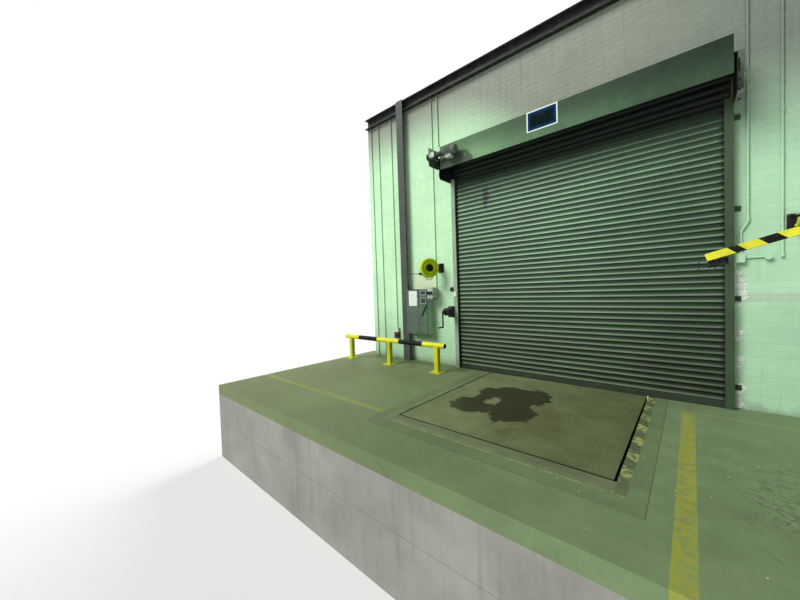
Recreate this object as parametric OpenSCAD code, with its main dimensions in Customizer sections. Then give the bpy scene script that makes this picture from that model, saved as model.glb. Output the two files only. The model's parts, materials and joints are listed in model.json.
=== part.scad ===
// Loading dock bay of a factory hall: a brick wall bay between two portal columns, with a
// roller shutter, a pit dock leveller and the fittings that serve the doorway.
// X runs along the wall from the middle of the doorway, the room is on the -Y side of the
// wall's inner face (y = 0), and z = 0 is the yard outside, below the raised dock floor.

/* [Building bay] */
// Height of the dock floor above the yard
dock_h = 1200; // [900:10:1500]
// Distance between the two portal columns, centre to centre
bay_w = 6000; // [5400:10:7200]
// Thickness of the brick wall
wall_t = 215; // [140:5:300]
// Height of the brick wall above the floor
wall_h = 5150; // [4600:10:6000]
// Wall beyond the left column, as far as the jamb of the next doorway
wall_run = 1065; // [600:5:1600]
// Depth of the dock floor from the wall's inner face into the hall
floor_depth = 3300; // [2900:10:4500]
// Thickness of the floor slab
slab_t = 150; // [100:5:250]
// How far the dock face stands out past the wall's outer face
dock_nose = 45; // [20:5:120]
// How far the floor runs past the guard rail's left end
floor_margin = 20; // [0:5:200]

/* [Portal frame] */
// Depth of a column in front of the wall's inner face
column_reveal = 120; // [90:5:200]
// Width of a column flange
column_w = 170; // [130:5:220]
// Thickness of a column flange
flange_t = 12; // [8:1:20]
// Thickness of a column web
web_t = 8; // [6:1:14]
// Width of the eaves beam
eaves_w = 200; // [150:5:260]
// Depth of the eaves beam
eaves_d = 203; // [150:1:300]
// Gauge of the rafter bolt holes across the column
rafter_gauge = 90; // [80:2:110]
// Distance between the outer rows of rafter bolt holes
rafter_pitch = 400; // [300:10:460]
// Distance from the top of the column down to the middle of the rafter bolts
rafter_drop = 353; // [260:1:420]
// Radius of a rafter bolt hole
rafter_hole_r = 11; // [7:0.5:13]

/* [Roller shutter] */
// Clear width between the guides
door_w = 3480; // [2600:10:4000]
// Height of the guides above the floor
guide_h = 3450; // [2800:10:3600]
// Width of a guide as seen from the hall
guide_w = 75; // [60:1:110]
// Depth of a guide from the wall
guide_d = 100; // [80:1:140]
// Thickness of the guide steel
guide_t = 3; // [2:0.5:6]
// Width of the guide slot that the slats run in
slot_w = 28; // [26:1:36]
// Distance from knuckle to knuckle of a slat
slat_pitch = 75; // [60:1:100]
// Thickness of a slat's web
slat_t = 1.6; // [1:0.1:2.4]
// Depth of the curve of a slat's web
slat_rise = 10; // [8:0.5:10]
// Radius of the bead along a slat's top edge
bead_r = 4.2; // [3.5:0.1:5]
// How far a slat runs into each guide
slat_bite = 50; // [30:1:60]
// Radius of the barrel tube
barrel_r = 84; // [70:1:110]
// Radius of the barrel shaft
shaft_r = 20; // [15:1:30]
// Depth of the hood from the wall
hood_d = 450; // [420:5:600]
// Height of the hood's front
hood_h = 390; // [360:5:500]
// Thickness of the hood sheet
hood_t = 3; // [2:0.5:5]
// Gap between the top of the guides and the bottom edge of the hood
hood_gap = 100; // [60:5:160]
// Thickness of an end plate
end_plate_t = 8; // [6:1:12]
// Depth of an end plate below the hood
end_plate_drop = 160; // [100:5:200]
// Height of an end plate's front edge above the bottom of the hood
end_plate_front = 200; // [160:5:300]
// Gap between each end of the hood and the end plate beside it
hood_end_gap = 22; // [5:1:40]
// Width of the sign plate on the hood
sign_w = 416; // [200:2:500]
// Height of the sign plate
sign_h = 285; // [150:5:320]
// Radius of the door motor
motor_r = 72; // [50:1:90]
// Height of the hand crank above the floor
crank_height = 1050; // [900:10:1300]
// Gap between the closed shutter's rail and the floor
rail_gap = 6; // [5:0.5:12]

/* [Dock leveller] */
// Width of the leveller deck
deck_w = 2130; // [1800:10:2200]
// Centre of the leveller to the side of the doorway's centre
deck_offset = -45; // [-100:5:100]
// Distance from the wall's inner face to the deck's hinge axis
hinge_y = 2448; // [2300:1:2700]
// Depth of the hinge axis below the floor
hinge_drop = 38; // [36:1:45]
// Gap between the deck and the pit at each side
side_gap = 22; // [10:1:30]
// Depth of the pit below the floor
pit_depth = 650; // [620:10:800]
// Thickness of the deck plate
deck_t = 8; // [6:1:12]
// Depth of the ribs under the deck
rib_d = 130; // [100:5:150]
// Width of the steel curb round the pit
curb_w = 80; // [60:5:100]
// Thickness of the curb steel
curb_t = 10; // [6:1:12]
// Length of the hinged lip
lip_l = 350; // [250:5:360]
// Radius of the hinge pins
pin_r = 14; // [10:1:16]
// Running clearance of a pin in its bore, on the radius
pin_gap = 0.08; // [0.05:0.01:0.1]
// Radius of the lifting ram's cylinder
ram_r = 40; // [34:1:46]
// Radius of the ram's rod
rod_r = 20; // [14:1:24]
// Width of a rubber bumper
bumper_w = 250; // [180:10:300]
// Height of a rubber bumper
bumper_h = 450; // [300:10:600]
// Depth of a rubber bumper
bumper_d = 100; // [80:5:150]

/* [Wall fittings] */
// Radius of the cable reel
reel_r = 185; // [150:5:220]
// Width of the cable reel
reel_w = 130; // [100:5:150]
// Height of the reel's centre above the floor
reel_z = 1870; // [1600:10:2200]
// Height of the dock light's wall bracket above the floor
light_z = 2030; // [1800:10:2300]
// Depth of a light arm
arm_d = 70; // [50:5:90]
// Thickness of a light arm
arm_t = 30; // [20:1:40]
// Width of the control cabinet
cabinet_w = 540; // [400:5:600]
// Height of the control cabinet
cabinet_h = 900; // [700:10:1100]
// Depth of the control cabinet
cabinet_d = 200; // [150:5:300]
// Height of the cabinet's top above the floor
cabinet_top = 1480; // [1400:10:1560]
// Height of the socket box
socket_h = 230; // [180:5:260]
// Radius of a conduit
conduit_r = 11; // [8:1:16]

/* [Guard rail] */
// Height of the rail tube's centre above the floor
rail_z = 475; // [400:5:600]
// Radius of the rail tube
rail_r = 45; // [35:1:60]
// Distance from post to post
post_pitch = 1157; // [900:1:1300]
// Width of a post
post_w = 85; // [60:1:90]
// Width of a post's base plate
base_w = 220; // [180:5:260]
// Distance of the rail in front of the wall
rail_y = 590; // [450:5:750]

/* [Hidden] */
$fn = 48;
eps = 0.5;

// Heights above the yard
pit_z = dock_h - pit_depth;
slab_z = dock_h - slab_t;
column_top = dock_h + wall_h + eaves_d;
hood_z = dock_h + guide_h + hood_gap;

rafter_z = column_top - rafter_drop;

// Plan places
column_x = bay_w / 2;
left_end_x = -column_x - wall_run;
dock_face = wall_t + dock_nose;
pit_w = deck_w + 2 * side_gap;
pit_left = deck_offset - pit_w / 2;
pit_right = deck_offset + pit_w / 2;
pit_rear_gap = 108;
pit_rear = -hinge_y - pit_rear_gap;
guide_x = door_w / 2;
guide_out = guide_x + guide_w;
lintel_gap = 50;
lintel_z = dock_h + guide_h + lintel_gap;
lintel_h = 215;
lintel_seat = 200;
eaves_gap = 18;
eaves_flange_t = 11;

// Guard rail posts are spaced about the left column
rail_overhang = 180;
rail_shift = 45;
rail_mid_x = -column_x - rail_shift;
base_t = 12;
floor_left_x = rail_mid_x - post_pitch - rail_overhang - floor_margin;
floor_edge = 15;
floor_right_x = column_x + column_w / 2 + floor_edge;

// Wall lugs of the guides
n_lugs = 4;
lug_first = 240;
lug_last = 201;
lug_pitch = (guide_h - lug_first - lug_last) / (n_lugs - 1);
lug_w = 58;
lug_h = 60;
lug_t = 8;

// Shutter curtain: the knuckles run up the guides, lean to the barrel and wrap round it
curl_gap = 0.4;
curl_t = 1.8;
curl_in = bead_r + curl_gap;
curl_out = curl_in + curl_t;
curtain_y = -guide_d / 2;
rail_h = 80;
rail_d = 70;
rail_t = 8;
rail_web_t = 6;
knuckle_z0 = dock_h + rail_gap + rail_h;
coil_gap = 0.3;
coil_r = barrel_r + curl_out + coil_gap;
n_lean = 4;
n_coil = 6;
n_up = ceil((dock_h + guide_h - knuckle_z0) / slat_pitch);
bend_z = knuckle_z0 + n_up * slat_pitch;
barrel_offset = 165;
barrel_y = curtain_y - barrel_offset;
lean_l = n_lean * slat_pitch;
lean_d = sqrt(lean_l * lean_l + coil_r * coil_r);
barrel_dy = curtain_y - barrel_y;
barrel_z = bend_z + sqrt(lean_d * lean_d - barrel_dy * barrel_dy);
tangent_a = atan2(bend_z - barrel_z, barrel_dy) + acos(coil_r / lean_d);
coil_step = 2 * asin(slat_pitch / 2 / coil_r);
n_slats = n_up + n_lean + n_coil;
web_r = (slat_pitch * slat_pitch / 4 + slat_rise * slat_rise) / (2 * slat_rise);
web_a = asin(slat_pitch / 2 / web_r);
barrel_gap = 12;
bearing_l = 35;
bearing_r = 55;
end_plate_r = 40;
end_plate_rise = 25;
end_flange = 85;
hood_flange = 25;
hood_lip = 30;

// Leveller
hinge_z = dock_h - hinge_drop;
hinge_lug_t = 36;
hinge_side = 6;
hinge_plate_t = 12;
hinge_r = 22;
hinge_x = [for (i = [-1.5:1:1.5]) deck_offset + i * deck_w * 0.29];
beam_d = 60;
beam_h = 140;
curb_leg = 75;
deck_front = wall_t;
deck_edge = 20;
rib_t = 10;
header_t = 12;
lip_t = 12;
lip_gap = 0.3;
lip_knuckle_r = 14;
lip_pin_r = 8;
lip_y = deck_front + lip_knuckle_r + lip_gap;
lip_drop = 22;
lip_z = dock_h - lip_drop;
n_knuckles = 11;
knuckle_gap = 1;
ram_foot = [-hinge_y + 598, pit_z + 90];
ram_top = [-hinge_y + 1198, dock_h - 140];
ram_dy = ram_top[0] - ram_foot[0];
ram_dz = ram_top[1] - ram_foot[1];
ram_l = sqrt(ram_dy * ram_dy + ram_dz * ram_dz);
ram_a = atan2(ram_dz, ram_dy);
ram_eye_w = 40;
ram_eye_r = 30;
ram_play = 3;
ram_cheek_t = 12;
ram_cheek_r = 32;
ram_cheek_in = ram_eye_w / 2 + 5;
ram_pin_end = 20;
tube_l = 460;
gland_l = 50;
piston_x = 170;
bumper_drop = 50;

// Door motor: its axis runs along X, in front of the hood's left end
motor_gap = 28;
motor_y = -hood_d - motor_gap - motor_r;
motor_z = barrel_z + 47;
motor_plate_x = -guide_out - end_plate_t - 85;
motor_plate_t = 8;
chain_case_w = 58;
chain_case_r = 60;
gear_l = 95;
neck_l = 190;
neck_r = 44;
motor_l = 150;
cover_l = 75;
n_fins = 24;
fin_d = 10;

// Hand crank and the sensor beside the left guide
crank_x = -guide_out - 50;
crank_z = dock_h + crank_height;
crank_shaft_r = 10;
crank_case_d = 180;
crank_drum_l = 145;
crank_drum_r = 70;
crank_neck_l = 70;
crank_arm_l = 268;
crank_grip_l = 130;
crank_front = crank_case_d + crank_drum_l + crank_neck_l;
sensor_rise = 208;
sensor_z = dock_h + lug_first + lug_pitch + sensor_rise;
sensor_r = 44;

// Cable reel and dock light, on vertical pins in wall brackets
bracket_pin_r = 10;
bracket_h = 180;
bracket_t = 10;
hub_h = 96;
hub_r = 22;
reel_pos = [-guide_out - 410, -300, dock_h + reel_z];
reel_turn = 56;
reel_swivel = [-guide_out - 335, -80];
reel_edge_r = 25;
reel_hub_r = 62;
light_x = guide_out + 451;
light_swivel_y = -75;
elbow = [light_x + 84, light_swivel_y - 875, dock_h + light_z - 70];
arm_tip = [light_x - 700, light_swivel_y - 825, dock_h + light_z - 350];
arm_rise = 60;
arm_step = 40;
lamp_pos = arm_tip + [74, -5, -30];
lamp_turn = atan2(arm_tip[1] - elbow[1], arm_tip[0] - elbow[0]);
lamp_pin_r = 8;
lamp_lug_t = 12;
lamp_gap = 5;
lamp_w = 110;
lamp_rest = 5;

// Control cabinet, the socket box beside it and the conduits
cabinet_x = -column_x + column_w / 2 + 25;
cabinet_z = dock_h + cabinet_top;
door_t = 12;
door_edge = 8;
door_split = 0.6;
socket_w = 130;
socket_x = cabinet_x + cabinet_w + socket_w / 2;
socket_drop = 210;
socket_z = cabinet_z - socket_drop;
socket_back = 75;
socket_front = 210;
socket_r = 26;
socket_conduit = 20;
socket_seat = 20;
coupling_r = conduit_r + 3;
junction_z = dock_h + light_z - 335;
junction_half = 45;
button_x = rail_mid_x - 290;
button_z = dock_h + rail_z - 40;
button_h = 230;

// Points on an arc about [cy, cz], from angle a to angle b in n steps
function arc(c, r, a, b, n) = [
    for (i = [0:n])
        let (turn = a + (b - a) * i / n)
        c + r * [cos(turn), sin(turn)]
];

// An outline with rounded corners, between two opposite corners
function rounded(x0, x1, y0, y1, r) = concat(
    arc([x1 - r, y1 - r], r, 0, 90, 4),
    arc([x0 + r, y1 - r], r, 90, 180, 4),
    arc([x0 + r, y0 + r], r, 180, 270, 4),
    arc([x1 - r, y0 + r], r, 270, 360, 4)
);

// Ends of the lip's hinge knuckles along the deck's front
function lip_knuckle(i) =
    deck_offset - deck_w / 2 + deck_edge + (deck_w - 2 * deck_edge) * i / n_knuckles;

// Middle of a guard rail post
function post_x(i) = rail_mid_x + (i - 1) * post_pitch;

// Place of knuckle k on its way from the rail to the barrel
function knuckle(k) =
    k <= n_up ? [curtain_y, knuckle_z0 + k * slat_pitch]
    : k <= n_up + n_lean ? lean_point((k - n_up) / n_lean)
    : coil_point(tangent_a + (k - n_up - n_lean) * coil_step);
function coil_point(a) = [barrel_y, barrel_z] + coil_r * [cos(a), sin(a)];
function lean_point(t) = [curtain_y, bend_z] * (1 - t) + coil_point(tangent_a) * t;
function lean_angle(p, q) = atan2(q[1] - p[1], q[0] - p[0]) - 90;

// A block of the given corners
module block(x0, x1, y0, y1, z0, z1) {
    translate([x0, y0, z0])
        cube([x1 - x0, y1 - y0, z1 - z0]);
}

// An outline in the Y-Z plane drawn out along X from x0 to x1
module along_x(x0, x1, points) {
    translate([x0, 0, 0])
        rotate([90, 0, 90])
            linear_extrude(x1 - x0)
                polygon(points);
}

// A cylinder along X
module rod_x(x0, x1, y, z, r) {
    translate([x0, y, z])
        rotate([0, 90, 0])
            cylinder(r = r, h = x1 - x0);
}

// A cylinder along Y
module rod_y(x, y0, y1, z, r) {
    translate([x, y0, z])
        rotate([-90, 0, 0])
            cylinder(r = r, h = y1 - y0);
}

// A block whose edges along Y are rounded
module rounded_y(x0, x1, y0, y1, z0, z1, r) {
    translate([0, y1, 0])
        rotate([90, 0, 0])
            linear_extrude(y1 - y0)
                polygon(rounded(x0, x1, z0, z1, r));
}

// Moves children so that local X, Y and Z run along world Y, Z and X
module facing_x(x, y, z) {
    translate([x, y, z])
        rotate([90, 0, 90])
            children();
}

// Moves children so that local Z runs towards the room, along -Y
module facing_room(x, y, z) {
    translate([x, y, z])
        rotate([90, 0, 0])
            children();
}

// The concrete dock below the floor slab
module base_left() {
    color("darkgray")
        block(floor_left_x, pit_left - curb_t, -floor_depth, dock_face, 0, slab_z);
}

module base_right() {
    color("darkgray")
        block(pit_right + curb_t, floor_right_x, -floor_depth, dock_face, 0, slab_z);
}

module base_rear() {
    color("darkgray")
        block(pit_left - curb_t, pit_right + curb_t, -floor_depth, pit_rear - curb_t, 0, slab_z);
}

module pit_floor() {
    color("gray")
        block(pit_left - curb_t, pit_right + curb_t, pit_rear - curb_t, dock_face, 0, pit_z);
}

// The floor slab is rebated round the pit for the curb
module floor_left() {
    edge = pit_left - curb_t;
    color("darkseagreen")
        difference() {
            block(floor_left_x, edge, -floor_depth, dock_face, slab_z, dock_h);
            block(pit_left - curb_w, edge + eps, pit_rear - curb_w, dock_face + eps,
                dock_h - curb_t, dock_h + eps);
        }
}

module floor_right() {
    edge = pit_right + curb_t;
    color("darkseagreen")
        difference() {
            block(edge, floor_right_x, -floor_depth, dock_face, slab_z, dock_h);
            block(edge - eps, pit_right + curb_w, pit_rear - curb_w, dock_face + eps,
                dock_h - curb_t, dock_h + eps);
        }
}

module floor_rear() {
    x0 = pit_left - curb_t;
    x1 = pit_right + curb_t;
    color("darkseagreen")
        difference() {
            block(x0, x1, -floor_depth, pit_rear - curb_t, slab_z, dock_h);
            block(x0 - eps, x1 + eps, pit_rear - curb_w, pit_rear,
                dock_h - curb_t, dock_h + eps);
        }
}

// Brick walls, which end against the webs of the columns
module wall_left_end() {
    color("honeydew")
        block(left_end_x, -column_x - web_t / 2, 0, wall_t, dock_h, dock_h + wall_h);
}

// A pier between a column and the doorway, notched for the lintel's bearing
module pier() {
    x0 = column_x - web_t / 2;
    translate([0, wall_t, 0])
        rotate([90, 0, 0])
            linear_extrude(wall_t)
                polygon([
                    [guide_x, dock_h],
                    [x0, dock_h],
                    [x0, lintel_z + lintel_h],
                    [guide_x + lintel_seat, lintel_z + lintel_h],
                    [guide_x + lintel_seat, lintel_z],
                    [guide_x, lintel_z]
                ]);
}

module wall_left_pier() {
    color("honeydew")
        mirror([1, 0, 0])
            pier();
}

module wall_right_pier() {
    color("honeydew")
        pier();
}

module wall_over_door() {
    x0 = column_x - web_t / 2;
    color("honeydew")
        block(-x0, x0, 0, wall_t, lintel_z + lintel_h, dock_h + wall_h);
}

module door_lintel() {
    x0 = guide_x + lintel_seat;
    color("lightgray")
        block(-x0, x0, 0, wall_t, lintel_z, lintel_z + lintel_h);
}

// A portal column: an I-section with its web between the wall's ends
module column() {
    depth = column_reveal + wall_t + flange_t;
    difference() {
        translate([0, 0, dock_h])
            linear_extrude(column_top - dock_h)
                translate([0, -column_reveal])
                    union() {
                        translate([-column_w / 2, 0])
                            square([column_w, flange_t]);
                        translate([-column_w / 2, depth - flange_t])
                            square([column_w, flange_t]);
                        translate([-web_t / 2, 0])
                            square([web_t, depth]);
                    }
        for (x = [-1, 1], z = [-1, 1])
            rod_y(x * rafter_gauge / 2, -column_reveal - eps, -column_reveal + flange_t + eps,
                rafter_z + z * rafter_pitch / 2, rafter_hole_r);
    }
}

module column_left() {
    color("slategray")
        translate([-column_x, 0, 0])
            column();
}

module column_right() {
    color("slategray")
        translate([column_x, 0, 0])
            column();
}

// An I-section laid along X, as the outline of one length
module eaves_length(x0, x1) {
    y0 = -column_reveal + flange_t + eaves_gap;
    y1 = y0 + eaves_w;
    ym = y0 + eaves_w / 2;
    z0 = dock_h + wall_h;
    z1 = z0 + eaves_d;
    f = eaves_flange_t;
    w = web_t / 2;
    along_x(x0, x1, [
        [y0, z0], [y1, z0], [y1, z0 + f], [ym + w, z0 + f], [ym + w, z1 - f], [y1, z1 - f],
        [y1, z1], [y0, z1], [y0, z1 - f], [ym - w, z1 - f], [ym - w, z0 + f], [y0, z0 + f]
    ]);
}

module eaves_beam() {
    x0 = column_x - web_t / 2;
    color("dimgray") {
        eaves_length(left_end_x, -column_x - web_t / 2);
        eaves_length(-x0, x0);
    }
}

// Steel angle round the pit, flush with the floor
module pit_curb() {
    color("olive")
        union() {
            for (side = [-1, 1]) {
                x_in = deck_offset + side * pit_w / 2;
                x_leg = x_in + side * curb_t;
                x_out = x_in + side * curb_w;
                block(min(x_in, x_leg), max(x_in, x_leg), pit_rear - curb_t, dock_face,
                    dock_h - curb_leg, dock_h);
                block(min(x_in, x_out), max(x_in, x_out), pit_rear - curb_w, dock_face,
                    dock_h - curb_t, dock_h);
            }
            block(pit_left, pit_right, pit_rear - curb_w, pit_rear, dock_h - curb_t, dock_h);
            block(pit_left, pit_right, pit_rear - curb_t, pit_rear, dock_h - curb_leg, dock_h);
        }
}

// Fixed steelwork of the leveller: rear beam, hinge plates with their pins, and ram foot
module leveller_frame() {
    strip_front = -hinge_y - 8;
    beam_z = dock_h - deck_t - beam_h;
    inner = hinge_lug_t / 2 + hinge_side;
    pin_half = inner + 2 * hinge_plate_t;
    color("saddlebrown") {
        union() {
            block(pit_left, pit_right, pit_rear, strip_front, dock_h - deck_t, dock_h);
            block(pit_left, pit_right, pit_rear, pit_rear + beam_d, beam_z, dock_h - deck_t);
            for (x = [pit_left, deck_offset - beam_d / 2, pit_right - beam_d])
                block(x, x + beam_d, pit_rear, pit_rear + beam_d, pit_z, beam_z);
            for (x = hinge_x) {
                for (side = [-1, 1]) {
                    xa = x + side * inner;
                    xb = xa + side * hinge_plate_t;
                    hinge_plate(min(xa, xb), max(xa, xb), pit_rear + beam_d);
                }
                rod_x(x - pin_half, x + pin_half, -hinge_y, hinge_z, pin_r);
            }
        }
        ram_foot_bracket();
    }
}

// One hinge plate, from the rear beam to the pin
module hinge_plate(x0, x1, y_back) {
    along_x(x0, x1, concat(
        [[y_back, hinge_z - 60]],
        arc([-hinge_y, hinge_z], hinge_r, -90, 90, 10),
        [[y_back, hinge_z + hinge_r]]
    ));
}

// Foot bracket that the ram's lower eye turns on
module ram_foot_bracket() {
    y = ram_foot[0];
    z = ram_foot[1];
    foot = 110;
    foot_t = 15;
    root = 60;
    translate([deck_offset, 0, 0]) {
        block(-foot, foot, y - foot, y + foot, pit_z, pit_z + foot_t);
        for (side = [-1, 1]) {
            xa = side * ram_cheek_in;
            xb = side * (ram_cheek_in + ram_cheek_t);
            along_x(min(xa, xb), max(xa, xb), concat(
                [[y - root, pit_z + foot_t], [y + root, pit_z + foot_t]],
                arc([y, z], ram_cheek_r, 0, 180, 10)
            ));
        }
        rod_x(-ram_cheek_in - ram_pin_end, ram_cheek_in + ram_pin_end, y, z, pin_r);
    }
}

// The moving deck: plate, ribs, front header, hinge lugs and the ram's upper bracket
module leveller_deck() {
    rear = -hinge_y - 2;
    under = dock_h - deck_t;
    rib_z = under - rib_d;
    left = deck_offset - deck_w / 2;
    right = deck_offset + deck_w / 2;
    rib_places = [-0.49, -0.33, -0.17, -0.05, 0.05, 0.17, 0.33, 0.49];
    color("rosybrown")
        difference() {
            union() {
                block(left, right, rear, deck_front, under, dock_h);
                for (share = rib_places) {
                    x = deck_offset + share * deck_w;
                    block(x - rib_t / 2, x + rib_t / 2, -hinge_y + 48, deck_front - header_t,
                        rib_z, under + eps);
                }
                block(left + deck_edge, right - deck_edge, deck_front - header_t, deck_front,
                    lip_z - lip_knuckle_r, under + eps);
                for (x = hinge_x)
                    deck_lug(x);
                ram_top_bracket();
                for (i = [0:2:n_knuckles - 1])
                    deck_knuckle(i);
            }
            for (x = hinge_x)
                rod_x(x - hinge_lug_t, x + hinge_lug_t, -hinge_y, hinge_z, pin_r + pin_gap);
            for (i = [0:2:n_knuckles - 1])
                rod_x(lip_knuckle(i) - eps, lip_knuckle(i + 1) + eps, lip_y, lip_z,
                    lip_pin_r + 0.1);
        }
}

// Cheeks and pin under the deck that the ram's rod pushes on
module ram_top_bracket() {
    root = 70;
    for (side = [-1, 1]) {
        xa = deck_offset + side * ram_cheek_in;
        xb = xa + side * ram_cheek_t;
        along_x(min(xa, xb), max(xa, xb), concat(
            [[ram_top[0] + root, dock_h - deck_t], [ram_top[0] - root, dock_h - deck_t]],
            arc(ram_top, ram_cheek_r, 180, 360, 10)
        ));
    }
    rod_x(deck_offset - ram_cheek_in - ram_pin_end, deck_offset + ram_cheek_in + ram_pin_end,
        ram_top[0], ram_top[1], pin_r);
}

// One of the deck's knuckles of the lip hinge
module deck_knuckle(i) {
    x0 = lip_knuckle(i) + knuckle_gap;
    x1 = lip_knuckle(i + 1) - knuckle_gap;
    rod_x(x0, x1, lip_y, lip_z, lip_knuckle_r);
    block(x0, x1, deck_front - eps, lip_y, lip_z - 8, lip_z + lip_knuckle_r);
}

// One of the deck's hinge lugs
module deck_lug(x) {
    under = dock_h - deck_t;
    along_x(x - hinge_lug_t / 2, x + hinge_lug_t / 2, concat(
        [[-hinge_y + 60, under], [-hinge_y, under]],
        arc([-hinge_y, hinge_z], hinge_r, 90, 290, 12)
    ));
}

// The lip hangs from the deck's front on one long pin
module leveller_lip() {
    y0 = lip_y - lip_t / 2;
    leaf_top = lip_z - lip_knuckle_r - 2;
    color("rosybrown")
        union() {
            block(lip_knuckle(0), lip_knuckle(n_knuckles), y0, y0 + lip_t, lip_z - lip_l, leaf_top);
            for (i = [1:2:n_knuckles - 2]) {
                x0 = lip_knuckle(i) + knuckle_gap;
                x1 = lip_knuckle(i + 1) - knuckle_gap;
                rod_x(x0, x1, lip_y, lip_z, lip_knuckle_r);
                block(x0, x1, y0, y0 + lip_t, leaf_top - eps, lip_z);
            }
            rod_x(lip_knuckle(0), lip_knuckle(n_knuckles), lip_y, lip_z, lip_pin_r);
        }
}

// Moves children so that local +X runs up the ram from its foot
module ram_frame() {
    translate([deck_offset, ram_foot[0], ram_foot[1]])
        rotate([0, 0, 90])
            rotate([0, -ram_a, 0])
                children();
}

module ram_cylinder() {
    bore_x = 70;
    color("dimgray")
        ram_frame()
            difference() {
                union() {
                    ram_round(45, tube_l, ram_r);
                    ram_round(tube_l - gland_l, tube_l, ram_r + 5);
                    ram_eye(0, ram_eye_r, ram_eye_w);
                    translate([0, -ram_eye_w / 2, -22])
                        cube([60, ram_eye_w, 44]);
                }
                ram_eye(0, pin_r + pin_gap, 2 * ram_eye_w);
                ram_round(bore_x, tube_l - gland_l + 10, ram_r - 8);
                ram_round(bore_x, tube_l + eps, rod_r + 0.1);
            }
}

// A cylinder along the ram, between two distances from its foot
module ram_round(x0, x1, r) {
    rotate([0, 90, 0])
        translate([0, 0, x0])
            cylinder(r = r, h = x1 - x0);
}

// A cylinder across the ram
module ram_eye(x, r, w) {
    translate([x, w / 2, 0])
        rotate([90, 0, 0])
            cylinder(r = r, h = w);
}

// The rod's eye has play round the deck's pin, which takes up the linkage's small error
module ram_rod() {
    piston_l = 30;
    color("silver")
        ram_frame()
            difference() {
                union() {
                    ram_round(piston_x, piston_x + piston_l, ram_r - 8.1);
                    ram_round(piston_x + piston_l / 2, ram_l - 20, rod_r);
                    ram_eye(ram_l, ram_eye_r, ram_eye_w);
                }
                ram_eye(ram_l, pin_r + ram_play, 2 * ram_eye_w);
            }
}

// Two rubber blocks on the dock face, one at each side of the pit
module dock_bumpers() {
    z1 = dock_h - bumper_drop;
    color("black")
        for (side = [-1, 1]) {
            x = deck_offset + side * (pit_w / 2 + curb_w + bumper_w / 2);
            chamfered_block(x - bumper_w / 2, x + bumper_w / 2, dock_face,
                dock_face + bumper_d, z1 - bumper_h, z1);
        }
}

// A block whose outer corners are chamfered, seen along X
module chamfered_block(x0, x1, y0, y1, z0, z1) {
    c = 15;
    along_x(x0, x1, [
        [y0, z0], [y1 - c, z0], [y1, z0 + c], [y1, z1 - c], [y1 - c, z1], [y0, z1]
    ]);
}

// A guide: a lipped channel with its slot towards the doorway, and its wall lugs
module guide() {
    d = guide_d;
    t = guide_t;
    s0 = (d - slot_w) / 2;
    s1 = s0 + slot_w;
    union() {
        translate([0, 0, dock_h])
            linear_extrude(guide_h)
                polygon([
                    [guide_out, 0], [guide_x, 0], [guide_x, -s0], [guide_x + t, -s0],
                    [guide_x + t, -t], [guide_out - t, -t], [guide_out - t, -d + t],
                    [guide_x + t, -d + t], [guide_x + t, -s1], [guide_x, -s1],
                    [guide_x, -d], [guide_out, -d]
                ]);
        for (i = [0:n_lugs - 1])
            guide_lug(dock_h + lug_first + i * lug_pitch);
    }
}

// An angle cleat that bolts the guide to the wall
module guide_lug(z) {
    z0 = z - lug_h / 2;
    z1 = z + lug_h / 2;
    difference() {
        union() {
            block(guide_out - eps, guide_out + lug_w, -lug_t, 0, z0, z1);
            block(guide_out - eps, guide_out + lug_t, -lug_h, 0, z0, z1);
        }
        rod_y(guide_out + lug_w * 0.65, -lug_t - eps, eps, z, 6);
    }
}

module guide_left() {
    color("darkslategray")
        mirror([1, 0, 0])
            guide();
}

module guide_right() {
    color("darkslategray")
        guide();
}

// Section of a slat hung from its bead at the origin: bead above, curl round the next below
function slat_section() =
    let (
        c = [-web_r * cos(web_a), -slat_pitch / 2],
        foot = [0, -slat_pitch],
        lead = 270 + web_a,
        rise = 90 - web_a,
        bead_h = asin(slat_t / 2 / bead_r),
        curl_h = asin(slat_t / 2 / curl_out),
        a0 = web_a - bead_r / web_r * 57.3,
        a1 = -web_a + curl_out / web_r * 57.3
    )
    concat(
        arc(c, web_r + slat_t / 2, a0, a1, 5),
        arc(foot, curl_out, rise - curl_h, -45, 4),
        arc(foot, curl_in, -45, 225, 9),
        arc(foot, curl_out, 225, rise + curl_h, 4),
        arc(c, web_r - slat_t / 2, a1, a0, 5),
        arc([0, 0], bead_r, lead - curl_h - 4, lead - 360 + curl_h + 4, 10)
    );

// One slat, between knuckle k and the knuckle above it
module slat(k) {
    p = knuckle(k);
    q = knuckle(k + 1);
    half = guide_x + slat_bite;
    translate([-half, q[0], q[1]])
        rotate([lean_angle(p, q), 0, 0])
            rotate([90, 0, 90])
                linear_extrude(2 * half)
                    polygon(slat_section());
}

// Interlocking slats: each hangs from the one above and turns in its curl
module curtain() {
    color("darkslategray")
        for (k = [0:n_slats - 1])
            slat(k);
}

// The bottom rail's bead hangs in the lowest slat's curl
module bottom_rail() {
    half = guide_x - 5;
    z0 = dock_h + rail_gap;
    color("darkslategray")
        union() {
            block(-half, half, curtain_y - rail_d / 2, curtain_y + rail_d / 2, z0, z0 + rail_t);
            block(-half, half, curtain_y - rail_web_t / 2, curtain_y + rail_web_t / 2, z0,
                knuckle_z0 - bead_r - 6);
            block(-half - slat_bite, half + slat_bite, curtain_y - 1, curtain_y + 1,
                knuckle_z0 - 30, knuckle_z0);
            rod_x(-half - slat_bite, half + slat_bite, curtain_y, knuckle_z0, bead_r);
        }
}

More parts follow.
